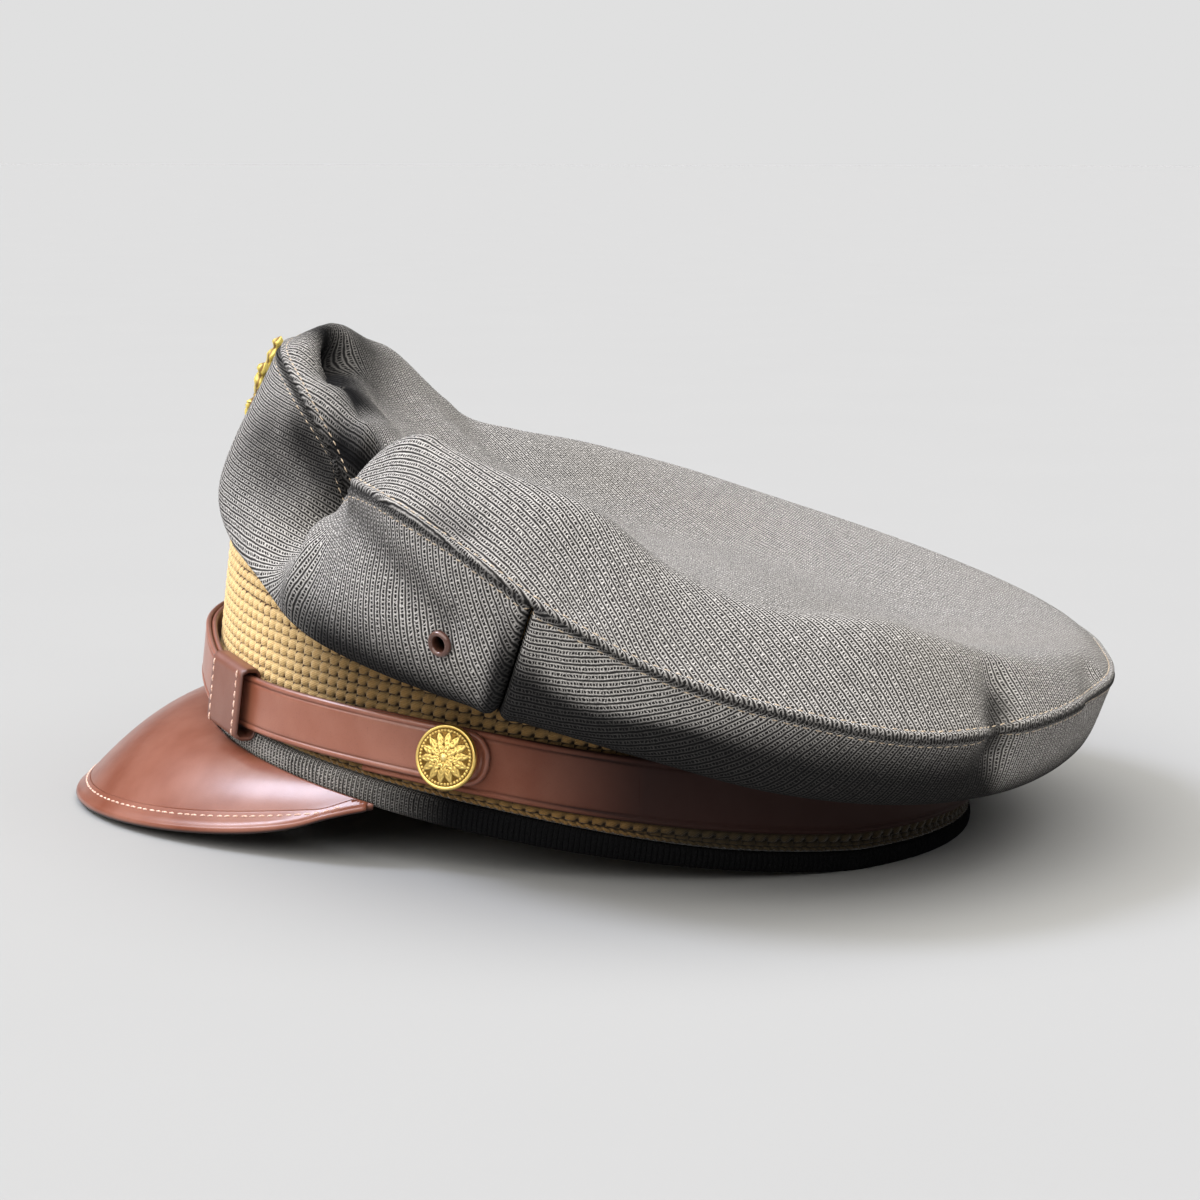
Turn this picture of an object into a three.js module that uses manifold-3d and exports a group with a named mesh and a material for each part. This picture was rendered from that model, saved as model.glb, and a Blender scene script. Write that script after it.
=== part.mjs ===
// Officer's visor cap with a slumped cloth crown, a woven band, a leather visor and a two-part strap.
// Millimetres, +Z up, visor toward -Y, wearer's left toward +X, standing on z = 0.
import * as THREE from "three";
import { mergeVertices } from "three/addons/utils/BufferGeometryUtils.js";
import Module from "manifold-3d";

const DEGREE = Math.PI / 180;
const FULL_TURN = 360;
const GAP = 0.3; // clearance between pieces that lie against each other
const UP = new THREE.Vector3(0, 0, 1);

// Driving sizes. A turn is an angle in degrees from the front toward the wearer's left.
// Heights are above the lower edge of the cap, before it leans back.
const HEAD = { halfWidth: 85, halfLength: 105, step: 5 }; // outer face of the band, a column each step
const REST = { lean: 7.6, heel: 92 }; // front raised by lean; rim pressed flat behind heel
const BAND = { bottom: 6.8, top: 48, wall: 2 };
const BINDING = { top: 6.5, proud: 0.8, wall: 3.8, foot: 2.2, chamfer: 0.8 };
const CLOTH = { wall: 1.6, centreY: 15, middle: 58, sideRows: 8, topRows: 12 };
const FLOOR = { out: 0.4, up: 0.15 }; // the dish is nearly level this share of the way out to the basin
const SIDE_SEAM = { turn: 97.5, slant: 8, reach: 50 };
const VISOR = { corner: 80, under: 0.6, wall: 2.4, camber: 5.9, droop: 0.43, fullness: 0.81 };
const VISOR_REACH = { tip: 138.6, halfWidth: 88, cornerY: 28.6 };
const VISOR_GRID = { columns: 28, rows: 5, end: 0.99, crowd: 82 }; // columns crowd toward the corners
const VISOR_EDGE = { width: 3.6, leather: 0.8 };
const STRAP = { bottom: 12, width: 14, leather: 1.3, seat: 2.2, end: 96 };
const ROUND_END = { places: [0, 0.12, 0.35, 0.7], blunt: 0.45 }; // shares of half the strap's width
const SAG = { drop: 6, standOff: 0.55, from: 98, to: 30 }; // the strap sinks and stands off in front
const LAP = { end: 50, from: 68, to: 57 }; // where one half of the strap climbs on to the other
const REAR_STRAP = { end: 77, bottom: 10, width: 16, seat: 0.4, leather: 1.5 };
const KEEPER = { turn: 50, length: 15.5, leather: 1, slackOut: 0.6, slackUp: 1.6, corner: 1 };
const BUTTON = { turn: 91, radius: 8, neckRadius: 2.4, tilt: 11, sides: 20 };
const BUTTON_RISE = { neck: 1.9, under: 2.1, widest: 2.8, rim: 3.7, inRim: 3.5, dome: 4.5, top: 5 };
const EYELET = { turn: 85.5, along: 0.65, hole: 1.7, barrel: 2.1, flange: 3.2, depth: 2.4, sides: 12 };
const EYELET_LIP = 0.9;
const BADGE = { height: 83.2, reach: 104.9, tilt: 13, bend: 60 };
const BADGE_BOSS = { radius: 14.4, deep: 2.2, sides: 16, rows: 4 };
const WREATH = { radius: 15, leaves: 6, from: 24, to: 156, splay: 40 };
const LEAF = { long: 11, wide: 5.6, deep: 1.5 };

// The crown, a row for each direction from its middle. Each pair is a distance out and a height.
const CROWN = [
  { turn: -158, bulge: [115, 29], seam: [122, 47], ridge: [111, 53], basin: [64, 50] },
  { turn: -140, bulge: [116, 30], seam: [126, 46], ridge: [112, 53], basin: [62, 50] },
  { turn: -115, bulge: [113, 34], seam: [123, 50], ridge: [108, 56], basin: [60, 51] },
  { turn: -90, bulge: [109, 38], seam: [118, 57], ridge: [104, 61], basin: [58, 53] },
  { turn: -68, bulge: [106, 43], seam: [112, 64], ridge: [99, 68], basin: [56, 56] },
  { turn: -52, bulge: [106, 48], seam: [103, 66], ridge: [93, 73], basin: [54, 59] },
  { turn: -38, bulge: [111, 54], seam: [97, 72], ridge: [88, 76], basin: [56, 63] },
  { turn: -24, bulge: [117, 62], seam: [103, 82], ridge: [92, 80], basin: [66, 69] },
  { turn: -12, bulge: [120, 68], seam: [110, 95], ridge: [99, 95], basin: [78, 82] },
  { turn: 0, bulge: [120, 70], seam: [113, 99], ridge: [102, 105], basin: [83, 86] },
  { turn: 12, bulge: [121, 68], seam: [111, 99], ridge: [98, 105], basin: [79, 85] },
  { turn: 24, bulge: [118, 63], seam: [101, 92], ridge: [87, 98], basin: [68, 80] },
  { turn: 34, bulge: [114, 56], seam: [95, 83], ridge: [81, 92], basin: [60, 75] },
  { turn: 46, bulge: [110, 50], seam: [92, 69], ridge: [76, 85], basin: [54, 68] },
  { turn: 60, bulge: [109, 43], seam: [100, 78], ridge: [86, 88], basin: [52, 66] },
  { turn: 72, bulge: [107, 40], seam: [110, 81], ridge: [92, 93], basin: [54, 65] },
  { turn: 86, bulge: [107, 38], seam: [116, 76], ridge: [94, 91], basin: [55, 64] },
  { turn: 100, bulge: [109, 36], seam: [120, 65], ridge: [96, 87], basin: [57, 62] },
  { turn: 113, bulge: [111, 33], seam: [123, 56], ridge: [98, 75], basin: [58, 59] },
  { turn: 127, bulge: [114, 29], seam: [126, 50], ridge: [102, 69], basin: [60, 56] },
  { turn: 142, bulge: [116, 27], seam: [128, 46], ridge: [105, 68], basin: [62, 54] },
  { turn: 158, bulge: [116, 27], seam: [126, 47], ridge: [110, 61], basin: [64, 53] },
  { turn: 180, bulge: [115, 29], seam: [123, 49], ridge: [111, 56], basin: [64, 51] },
];

const finish = (color, roughness, metalness) =>
  new THREE.MeshStandardMaterial({ color, roughness, metalness });
const woolCloth = () => finish(0x5f5c58, 0.9, 0);
const goldBraid = () => finish(0xb8935a, 0.85, 0);
const russetLeather = () => finish(0x8a4a38, 0.35, 0);
const giltBrass = () => finish(0xd0a840, 0.3, 1);
const brownEnamel = () => finish(0x5a3a32, 0.4, 0.3);

const steps = (count, from, to) =>
  Array.from({ length: count + 1 }, (_, i) => from + ((to - from) * i) / count);
const ease = (from, to, place) => THREE.MathUtils.smoothstep(place, from, to);

// A smooth curve through values at rising knots, read at one place.
function smooth(knots, values, place) {
  const last = knots.length - 1;
  let k = 0;
  while (k < last - 1 && place > knots[k + 1]) k += 1;
  const slope = (i) => {
    const [low, high] = [Math.max(0, i - 1), Math.min(last, i + 1)];
    return (values[high] - values[low]) / (knots[high] - knots[low]);
  };
  const width = knots[k + 1] - knots[k];
  const rise = values[k + 1] - values[k];
  const enter = slope(k) * width;
  const leave = slope(k + 1) * width;
  const t = (place - knots[k]) / width;
  return values[k] + t * (enter + t * (3 * rise - 2 * enter - leave + t * (enter + leave - 2 * rise)));
}

// Solids from rows of points

// One closed body from points and triangles, wound so that its faces point out.
function closedBody(points, triangles) {
  const loose = new THREE.BufferGeometry();
  loose.setAttribute("position", new THREE.Float32BufferAttribute(points.flatMap((p) => p.toArray()), 3));
  loose.setIndex(triangles);
  const body = mergeVertices(loose);
  const index = body.getIndex().array;
  const corner = (i) => new THREE.Vector3().fromBufferAttribute(body.attributes.position, i);
  const kept = [];
  let volume = 0;
  for (let i = 0; i < index.length; i += 3) {
    const [a, b, c] = index.slice(i, i + 3);
    if (a === b || b === c || c === a) continue;
    kept.push([a, b, c]);
    volume += corner(a).dot(corner(b).cross(corner(c)));
  }
  body.setIndex(kept.flatMap(([a, b, c]) => (volume > 0 ? [a, b, c] : [a, c, b])));
  return body;
}

// A wall between an outer and an inner face, each given as columns of points.
// The columns close on themselves, or the wall ends at the first and the last.
function wallBody(outer, inner, closes) {
  const rows = outer[0].length;
  const columns = outer.length;
  const triangles = [];
  const quad = (a, b, c, d) => triangles.push(a, b, c, a, c, d);
  const over = (column, row) => (column % columns) * rows + row;
  const under = (column, row) => rows * columns + over(column, row);
  const top = rows - 1;
  for (let c = 0; c < (closes ? columns : columns - 1); c += 1) {
    for (let r = 0; r < top; r += 1) {
      quad(over(c, r), over(c + 1, r), over(c + 1, r + 1), over(c, r + 1));
      quad(under(c, r), under(c, r + 1), under(c + 1, r + 1), under(c + 1, r));
    }
    quad(over(c, 0), under(c, 0), under(c + 1, 0), over(c + 1, 0));
    quad(over(c, top), over(c + 1, top), under(c + 1, top), under(c, top));
  }
  const end = columns - 1;
  for (let r = 0; r < top && !closes; r += 1) {
    quad(over(0, r), over(0, r + 1), under(0, r + 1), under(0, r));
    quad(over(end, r), under(end, r), under(end, r + 1), over(end, r + 1));
  }
  return closedBody([...outer.flat(), ...inner.flat()], triangles);
}

const wasm = await Module();
wasm.setup();

// A solid that can be joined and cut, from a geometry set in its place.
function carve(geometry, place = new THREE.Matrix4()) {
  const bare = geometry.clone().applyMatrix4(place);
  bare.deleteAttribute("normal");
  bare.deleteAttribute("uv");
  const whole = mergeVertices(bare);
  const vertProperties = new Float32Array(whole.attributes.position.array);
  const triVerts = new Uint32Array(whole.getIndex().array);
  return new wasm.Manifold(new wasm.Mesh({ numProp: 3, vertProperties, triVerts }));
}

function carved(solid) {
  const { vertProperties, triVerts } = solid.getMesh();
  const geometry = new THREE.BufferGeometry();
  geometry.setAttribute("position", new THREE.Float32BufferAttribute(vertProperties, 3));
  geometry.setIndex(Array.from(triVerts));
  return geometry;
}

// The head oval

// The way straight out from the oval.
function ovalOut(turn) {
  const a = turn * DEGREE;
  return new THREE.Vector3(Math.sin(a) / HEAD.halfWidth, -Math.cos(a) / HEAD.halfLength, 0).normalize();
}

// The rim bends up behind the heel, so that the cap lies flat there; the bend dies out up the band.
const FLOOR_SLOPE = Math.tan(REST.lean * DEGREE);

function heelLift(y, height) {
  return Math.max(0, y - REST.heel) * FLOOR_SLOPE * Math.min(1, Math.max(0, 1 - height / BAND.top));
}

function ovalPoint(turn, out, height) {
  const a = turn * DEGREE;
  const point = new THREE.Vector3(HEAD.halfWidth * Math.sin(a), -HEAD.halfLength * Math.cos(a), height);
  point.addScaledVector(ovalOut(turn), out);
  point.z += heelLift(point.y, height);
  return point;
}

// A ring round the head from a section: pairs of distance out and height, up each face.
function ovalRing(outerSection, innerSection) {
  const turns = steps(FULL_TURN / HEAD.step, 0, FULL_TURN).slice(0, -1);
  const column = (turn, section) => section.map(([out, height]) => ovalPoint(turn, out, height));
  const place = (section) => turns.map((turn) => column(turn, section));
  return wallBody(place(outerSection), place(innerSection), true);
}

function bandBody() {
  const { bottom, top, wall } = BAND;
  return ovalRing([[0, bottom], [0, top]], [[-wall, bottom], [-wall, top]]);
}

function bindingBody() {
  const { top, proud, wall, foot, chamfer } = BINDING;
  const back = proud - wall;
  const middle = (proud + back) / 2;
  const outer = [[middle + foot / 2, 0], [proud, chamfer], [proud, top]];
  const inner = [[middle - foot / 2, 0], [back, chamfer], [back, top]];
  return ovalRing(outer, inner);
}

// Crown

// Distance from the crown's middle to the outer face of the band.
function hemOut(turn) {
  const a = turn * DEGREE;
  const across = (Math.sin(a) / HEAD.halfWidth) ** 2 + (Math.cos(a) / HEAD.halfLength) ** 2;
  const half = (CLOTH.centreY * Math.cos(a)) / HEAD.halfLength ** 2;
  const rest = (CLOTH.centreY / HEAD.halfLength) ** 2 - 1;
  return (half + Math.sqrt(half * half - across * rest)) / across;
}

const CROWN_LOOP = [-1, 0, 1].flatMap((lap) =>
  CROWN.map((row) => ({ ...row, turn: row.turn + lap * FULL_TURN })));
const CROWN_TURNS = CROWN_LOOP.map((row) => row.turn);

function crownStation(name, turn) {
  return [0, 1].map((k) => smooth(CROWN_TURNS, CROWN_LOOP.map((row) => row[name][k]), turn));
}

// A point of the profile through some stations, by its share of the way along.
function profilePoint(stations, share, turn) {
  const knots = [0];
  for (let i = 1; i < stations.length; i += 1) {
    const [before, after] = [stations[i - 1], stations[i]];
    knots.push(knots[i - 1] + Math.hypot(after[0] - before[0], after[1] - before[1]));
  }
  const place = share * knots[knots.length - 1];
  const [out, up] = [0, 1].map((k) => smooth(knots, stations.map((s) => s[k]), place));
  const a = turn * DEGREE;
  return new THREE.Vector3(out * Math.sin(a), CLOTH.centreY - out * Math.cos(a), up);
}

// The outer face of the cloth: along runs 0 to 1 up the quarters and 1 to 2 over the top panel.
function crownPoint(turn, along) {
  const seam = crownStation("seam", turn);
  if (along <= 1) {
    const hem = [hemOut(turn), BAND.top + GAP];
    return profilePoint([hem, crownStation("bulge", turn), seam], along, turn);
  }
  const basin = crownStation("basin", turn);
  const level = [FLOOR.out * basin[0], CLOTH.middle + FLOOR.up * (basin[1] - CLOTH.middle)];
  const stations = [seam, crownStation("ridge", turn), basin, level, [0, CLOTH.middle]];
  return profilePoint(stations, along - 1, turn);
}

// The way out of the cloth, on the panel that runs from low to high.
function crownOut(turn, along, low, high) {
  if (along === 2) return UP.clone();
  const [aside, ahead] = [1, 0.02];
  const round = crownPoint(turn + aside, along).sub(crownPoint(turn - aside, along));
  const before = crownPoint(turn, Math.max(low, along - ahead));
  const after = crownPoint(turn, Math.min(high, along + ahead));
  return round.cross(after.sub(before)).normalize();
}

// The side seams lean forward toward the band, and the cloth beside them with them.
function seamLean(turn, along) {
  const sideways = turn > FULL_TURN / 2 ? turn - FULL_TURN : turn;
  const share = 1 - ease(0, SIDE_SEAM.reach, Math.abs(Math.abs(sideways) - SIDE_SEAM.turn));
  return turn - Math.sign(sideways) * SIDE_SEAM.slant * share * Math.max(0, 1 - along);
}

// One panel of cloth. Its edge along the top seam is mitred to the next panel's.
function clothPanel(turns, low, high, rows, closes) {
  const seamRow = high === 1 ? rows : 0;
  const besideSeam = high === 1 ? rows - 1 : 1;
  const mitreLimit = 0.7;
  const outer = [];
  const inner = [];
  for (const column of turns) {
    const places = steps(rows, low, high).map((along) => [seamLean(column, along), along]);
    const face = places.map(([turn, along]) => crownPoint(turn, along));
    const ways = places.map(([turn, along]) => crownOut(turn, along, low, high));
    const mitre = crownOut(column, 1, 0, 1).add(crownOut(column, 1, 1, 2)).normalize();
    ways[seamRow] = mitre.divideScalar(Math.max(mitreLimit, mitre.dot(ways[seamRow])));
    const back = face[besideSeam].clone().sub(face[seamRow]).setLength(GAP / 2);
    face[seamRow].add(back);
    outer.push(face);
    inner.push(face.map((point, i) => point.clone().addScaledVector(ways[i], -CLOTH.wall)));
  }
  return wallBody(outer, inner, closes);
}

// The first and last columns stand back from the seam that they share with the next quarter.
function quarterTurns(from, to) {
  const back = GAP / 2 / HEAD.halfWidth / DEGREE;
  const turns = steps(Math.round((to - from) / HEAD.step), from, to);
  return [from + back, ...turns.slice(1, -1), to - back];
}

const FRONT_TURNS = quarterTurns(-SIDE_SEAM.turn, SIDE_SEAM.turn);
const REAR_TURNS = quarterTurns(SIDE_SEAM.turn, FULL_TURN - SIDE_SEAM.turn);
const TOP_TURNS = steps(FULL_TURN / HEAD.step, -SIDE_SEAM.turn, FULL_TURN - SIDE_SEAM.turn).slice(0, -1);

// A frame on the cloth: origin on its outer face, Y straight out of it.
function clothFrame(turn, along) {
  const out = crownOut(turn, along, 0, 1);
  const turned = new THREE.Quaternion().setFromUnitVectors(new THREE.Vector3(0, 1, 0), out);
  return new THREE.Matrix4().compose(crownPoint(turn, along), turned, new THREE.Vector3(1, 1, 1));
}

// The front quarter has a hole on each side for its eyelet.
function frontQuarter() {
  let quarter = carve(clothPanel(FRONT_TURNS, 0, 1, CLOTH.sideRows, false));
  const radius = EYELET.barrel + GAP;
  const through = 6 * CLOTH.wall;
  const bore = new THREE.CylinderGeometry(radius, radius, through, EYELET.sides);
  for (const side of [1, -1]) {
    quarter = quarter.subtract(carve(bore, clothFrame(side * EYELET.turn, EYELET.along)));
  }
  return carved(quarter);
}

function eyeletBody() {
  const { hole, barrel, flange, depth, sides } = EYELET;
  const crest = GAP + EYELET_LIP;
  const section = [
    [hole, -depth], [barrel, -depth], [barrel, GAP], [flange, GAP],
    [flange, (GAP + crest) / 2], [(flange + hole) / 2, crest], [hole, GAP], [hole, -depth],
  ];
  return closedLathe(section, sides);
}

// A turned piece about Y, from pairs of radius and height.
function closedLathe(section, sides) {
  const bare = new THREE.LatheGeometry(section.map(([r, y]) => new THREE.Vector2(r, y)), sides);
  const corners = Array.from({ length: bare.attributes.position.count }, (_, i) =>
    new THREE.Vector3().fromBufferAttribute(bare.attributes.position, i));
  return closedBody(corners, Array.from(bare.getIndex().array));
}

// Visor

const EDGE_LOWER = GAP + VISOR_EDGE.leather; // the edge binding lies this far under the visor
const VISOR_DROP = (REST.heel + VISOR_REACH.tip + EDGE_LOWER) * FLOOR_SLOPE - EDGE_LOWER;

// The lower face of the visor: side runs -1 to 1 from corner to corner, out 0 to 1 from rim to edge.
function visorPoint(side, out) {
  const { tip, halfWidth, cornerY } = VISOR_REACH;
  const root = ovalPoint(side * VISOR.corner, BINDING.proud + GAP, -VISOR.under);
  const a = (side * Math.PI) / 2;
  const forward = Math.max(0, Math.cos(a));
  const edge = new THREE.Vector3(
    halfWidth * Math.sign(side) * Math.abs(Math.sin(a)) ** VISOR.fullness,
    -cornerY - (tip - cornerY) * forward ** VISOR.fullness,
    root.z - (VISOR_DROP + root.z) * forward ** VISOR.droop,
  );
  const point = root.lerp(edge, out);
  point.z += VISOR.camber * forward * 4 * out * (1 - out);
  return point;
}

const VISOR_SIDES = steps(VISOR_GRID.columns, -VISOR_GRID.crowd, VISOR_GRID.crowd)
  .map((place) => (VISOR_GRID.end * Math.sin(place * DEGREE)) / Math.sin(VISOR_GRID.crowd * DEGREE));

function visorBody() {
  const under = VISOR_SIDES.map((side) => steps(VISOR_GRID.rows, 0, 1).map((out) => visorPoint(side, out)));
  const over = under.map((column) => column.map((point) => point.clone().addScaledVector(UP, VISOR.wall)));
  return wallBody(over, under, false);
}

// A strip folded over the visor's edge, clear of the leather inside it. Its nose lies level.
function visorEdgeBody() {
  const outer = [];
  const inner = [];
  for (const side of VISOR_SIDES) {
    const edge = visorPoint(side, 1);
    const back = visorPoint(side, 1 - 1 / VISOR_GRID.rows).sub(edge);
    const reach = Math.min(VISOR_EDGE.width, back.length() * VISOR_GRID.rows / 2);
    back.setLength(1);
    const level = back.clone().setZ(0).normalize();
    const corner = (way, inward, up) => edge.clone().addScaledVector(way, inward).addScaledVector(UP, up);
    const section = (nose, clear) => [
      corner(back, reach, VISOR.wall + clear),
      corner(nose, -clear, VISOR.wall + clear),
      corner(nose, -clear, -clear),
      corner(back, reach, -clear),
    ];
    outer.push(section(level, EDGE_LOWER));
    inner.push(section(back, GAP));
  }
  return wallBody(outer, inner, false);
}

// Straps

const sagShare = (turn) => ease(-SAG.from, -SAG.to, -Math.abs(turn));
const strapMiddle = (turn, strap = STRAP) => strap.bottom + strap.width / 2 - SAG.drop * sagShare(turn);

// A flat strap: seat gives its inner face's distance from the band. Its two ends are round or square.
function strapBody(strap, from, to, seat, roundEnds) {
  const half = strap.width / 2;
  const perDegree = HEAD.halfLength * DEGREE;
  const roundTurns = ROUND_END.places.map((share) => (share * half) / perDegree);
  const inFrom = half / perDegree;
  const middle = steps(Math.round((to - from) / HEAD.step), from + inFrom, to - inFrom);
  const turns = [...roundTurns.map((d) => from + d), ...middle, ...roundTurns.map((d) => to - d).reverse()];
  const narrow = (turn) => {
    const toFrom = roundEnds.from ? (turn - from) * perDegree : half;
    const toEnd = roundEnds.to ? (to - turn) * perDegree : half;
    const short = Math.max(0, 1 - Math.min(toFrom, toEnd, half) / half);
    return Math.max(ROUND_END.blunt, Math.sqrt(1 - short * short)) * half;
  };
  const place = (out) => turns.map((turn) => {
    const faces = [-1, 1].map((way) => strapMiddle(turn, strap) + way * narrow(turn));
    return faces.map((height) => ovalPoint(turn, seat(turn) + out, height));
  });
  return wallBody(place(strap.leather), place(0), false);
}

const STRAP_LIFT = STRAP.leather + GAP;
const leftSeat = (turn) => STRAP.seat + SAG.standOff * sagShare(turn);
const rightSeat = (turn) => leftSeat(turn) + STRAP_LIFT * ease(-LAP.from, -LAP.to, turn);
const rearSeat = () => REAR_STRAP.seat;

// A loop of leather round both halves of the strap. X points out from the head and Y up.
function keeperBody() {
  const { length, leather, slackOut, slackUp, corner } = KEEPER;
  const deep = STRAP_LIFT + STRAP.leather + 2 * slackOut;
  const tall = STRAP.width + 2 * slackUp;
  const [wide, high] = [deep + 2 * leather, tall + 2 * leather];
  const loop = roundedRectangle(wide, high, corner + leather, new THREE.Shape());
  loop.holes.push(roundedRectangle(deep, tall, corner / 2, new THREE.Path()));
  const body = new THREE.ExtrudeGeometry(loop, { depth: length, bevelEnabled: false, curveSegments: 3 });
  return body.translate(0, 0, -length / 2);
}

function roundedRectangle(width, height, radius, path) {
  const [x, y] = [width / 2 - radius, height / 2 - radius];
  path.moveTo(x, -y - radius);
  path.absarc(x, -y, radius, -90 * DEGREE, 0);
  path.absarc(x, y, radius, 0, 90 * DEGREE);
  path.absarc(-x, y, radius, 90 * DEGREE, 180 * DEGREE);
  path.absarc(-x, -y, radius, 180 * DEGREE, 270 * DEGREE);
  path.closePath();
  return path;
}

function placeKeeper(keeper, turn) {
  const out = ovalOut(turn);
  const deep = STRAP_LIFT + STRAP.leather;
  keeper.position.copy(ovalPoint(turn, leftSeat(turn) + deep / 2, strapMiddle(turn)));
  keeper.setRotationFromMatrix(new THREE.Matrix4().makeBasis(out, UP, out.clone().cross(UP)));
}

// Metal

// A domed button on a short neck, about Y.
function buttonBody() {
  const { radius, neckRadius, sides } = BUTTON;
  const { neck, under, widest, rim, inRim, dome, top } = BUTTON_RISE;
  const section = [
    [0, 0], [neckRadius, 0], [neckRadius, neck], [0.9 * radius, under], [radius, widest],
    [0.94 * radius, rim], [0.84 * radius, inRim], [radius / 2, dome], [0, top],
  ];
  return closedLathe(section, sides);
}

function placeButton(button, side) {
  const turn = side * BUTTON.turn;
  const tilted = BUTTON.neckRadius * Math.sin(BUTTON.tilt * DEGREE);
  const seat = leftSeat(turn) + STRAP.leather + GAP + tilted;
  button.position.copy(ovalPoint(turn, seat, strapMiddle(turn)));
  const way = ovalOut(turn).multiplyScalar(Math.cos(BUTTON.tilt * DEGREE));
  way.addScaledVector(UP, Math.sin(BUTTON.tilt * DEGREE));
  button.quaternion.setFromUnitVectors(new THREE.Vector3(0, 1, 0), way);
}

// A plain boss in a wreath of leaves, bent to the cloth behind it. X to the side, Y up, Z out.
function badgeBody() {
  const { radius, deep, sides, rows } = BADGE_BOSS;
  let badge = carve(new THREE.SphereGeometry(1, sides, rows).scale(radius, radius, deep));
  const leaf = new THREE.OctahedronGeometry(1).scale(LEAF.long / 2, LEAF.wide / 2, LEAF.deep);
  const whole = new THREE.Vector3(1, 1, 1);
  for (const side of [1, -1]) {
    for (const turn of steps(WREATH.leaves - 1, WREATH.from, WREATH.to)) {
      const x = side * WREATH.radius * Math.sin(turn * DEGREE);
      const y = -WREATH.radius * Math.cos(turn * DEGREE);
      const fall = -(x * x) / (2 * BADGE.bend);
      const lie = new THREE.Euler(0, x / BADGE.bend, side * (turn - WREATH.splay) * DEGREE, "YXZ");
      const turned = new THREE.Quaternion().setFromEuler(lie);
      const seat = new THREE.Vector3(x, y, fall + LEAF.deep / 4);
      badge = badge.add(carve(leaf, new THREE.Matrix4().compose(seat, turned, whole)));
    }
  }
  return carved(badge);
}

function placeBadge(badge) {
  badge.rotation.set((90 - BADGE.tilt) * DEGREE, 0, 0);
  badge.position.set(0, -BADGE.reach, BADGE.height);
}

// The whole cap, leaning on its visor and heel, with the middle of its box over the origin

const cap = new THREE.Group();
const leaning = new THREE.Group();
leaning.rotation.x = -REST.lean * DEGREE;
cap.add(leaning);

function piece(name, geometry, look) {
  const mesh = new THREE.Mesh(geometry, look);
  mesh.name = name;
  leaning.add(mesh);
  return mesh;
}

piece("crown_top", clothPanel(TOP_TURNS, 1, 2, CLOTH.topRows, true), woolCloth());
piece("crown_front", frontQuarter(), woolCloth());
piece("crown_rear", clothPanel(REAR_TURNS, 0, 1, CLOTH.sideRows, false), woolCloth());
piece("band_braid", bandBody(), goldBraid());
piece("rim_binding", bindingBody(), woolCloth());
piece("visor", visorBody(), russetLeather());
piece("visor_edge", visorEdgeBody(), russetLeather());
piece("strap_left", strapBody(STRAP, -LAP.end, STRAP.end, leftSeat, { to: true }), russetLeather());
piece("strap_right", strapBody(STRAP, -STRAP.end, LAP.end, rightSeat, { from: true }), russetLeather());
const rearEnd = FULL_TURN - REAR_STRAP.end;
piece("strap_rear", strapBody(REAR_STRAP, REAR_STRAP.end, rearEnd, rearSeat, {}), russetLeather());
for (const [word, side] of [["left", 1], ["right", -1]]) {
  placeKeeper(piece(`keeper_${word}`, keeperBody(), russetLeather()), side * KEEPER.turn);
  placeButton(piece(`button_${word}`, buttonBody(), giltBrass()), side);
  const eyelet = piece(`eyelet_${word}`, eyeletBody(), brownEnamel());
  clothFrame(side * EYELET.turn, EYELET.along).decompose(eyelet.position, eyelet.quaternion, eyelet.scale);
}
placeBadge(piece("badge", badgeBody(), giltBrass()));

cap.updateMatrixWorld(true);
const box = new THREE.Box3().setFromObject(leaning, true);
const middle = box.getCenter(new THREE.Vector3());
leaning.position.set(-middle.x, -middle.y, -box.min.z);

export default cap;
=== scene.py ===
import math
import bpy
import numpy as np
from mathutils import Matrix, Vector
from mathutils.bvhtree import BVHTree


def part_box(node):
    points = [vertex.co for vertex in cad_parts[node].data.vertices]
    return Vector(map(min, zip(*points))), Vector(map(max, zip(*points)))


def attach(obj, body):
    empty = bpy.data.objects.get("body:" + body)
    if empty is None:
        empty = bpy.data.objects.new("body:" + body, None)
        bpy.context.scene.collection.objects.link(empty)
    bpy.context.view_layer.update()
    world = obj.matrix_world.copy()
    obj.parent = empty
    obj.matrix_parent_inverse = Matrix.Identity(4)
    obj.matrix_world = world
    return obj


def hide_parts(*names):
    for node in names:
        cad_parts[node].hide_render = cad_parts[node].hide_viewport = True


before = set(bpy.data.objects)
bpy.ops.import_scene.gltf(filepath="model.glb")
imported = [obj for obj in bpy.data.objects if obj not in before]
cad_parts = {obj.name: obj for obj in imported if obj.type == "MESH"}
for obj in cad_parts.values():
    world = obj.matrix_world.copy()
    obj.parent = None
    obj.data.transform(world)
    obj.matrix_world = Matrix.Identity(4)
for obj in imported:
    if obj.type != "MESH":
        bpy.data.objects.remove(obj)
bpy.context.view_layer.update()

random = np.random.default_rng(41)
print("frame loaded:", len(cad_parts), "nodes")


# Small tools for points

def unit(vectors):
    return vectors / np.maximum(np.linalg.norm(vectors, axis=-1, keepdims=True), 1e-9)


def ease(low, high, place):
    share = np.clip((place - low) / (high - low), 0, 1)
    return share * share * (3 - 2 * share)


def bell(place, wide):                       # 1 in the middle, falling off to either side
    return np.exp(-(place / wide) ** 2)


def gridNormals(grid, closes):               # columns first, then rows
    if closes:
        across = np.roll(grid, -1, 0) - np.roll(grid, 1, 0)
    else:
        across = np.gradient(grid, axis=0)
    return unit(np.cross(across, np.gradient(grid, axis=1)))


def runLength(grid, axis):                   # distance along rows or columns from their start
    steps = np.linalg.norm(np.diff(grid, axis=axis), axis=-1)
    start = np.zeros_like(np.take(steps, [0], axis))
    return np.concatenate([start, np.cumsum(steps, axis)], axis)


def follow(line, run, places):               # points that far along a line
    return np.stack([np.interp(places, run, line[:, k]) for k in range(3)], -1)


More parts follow.
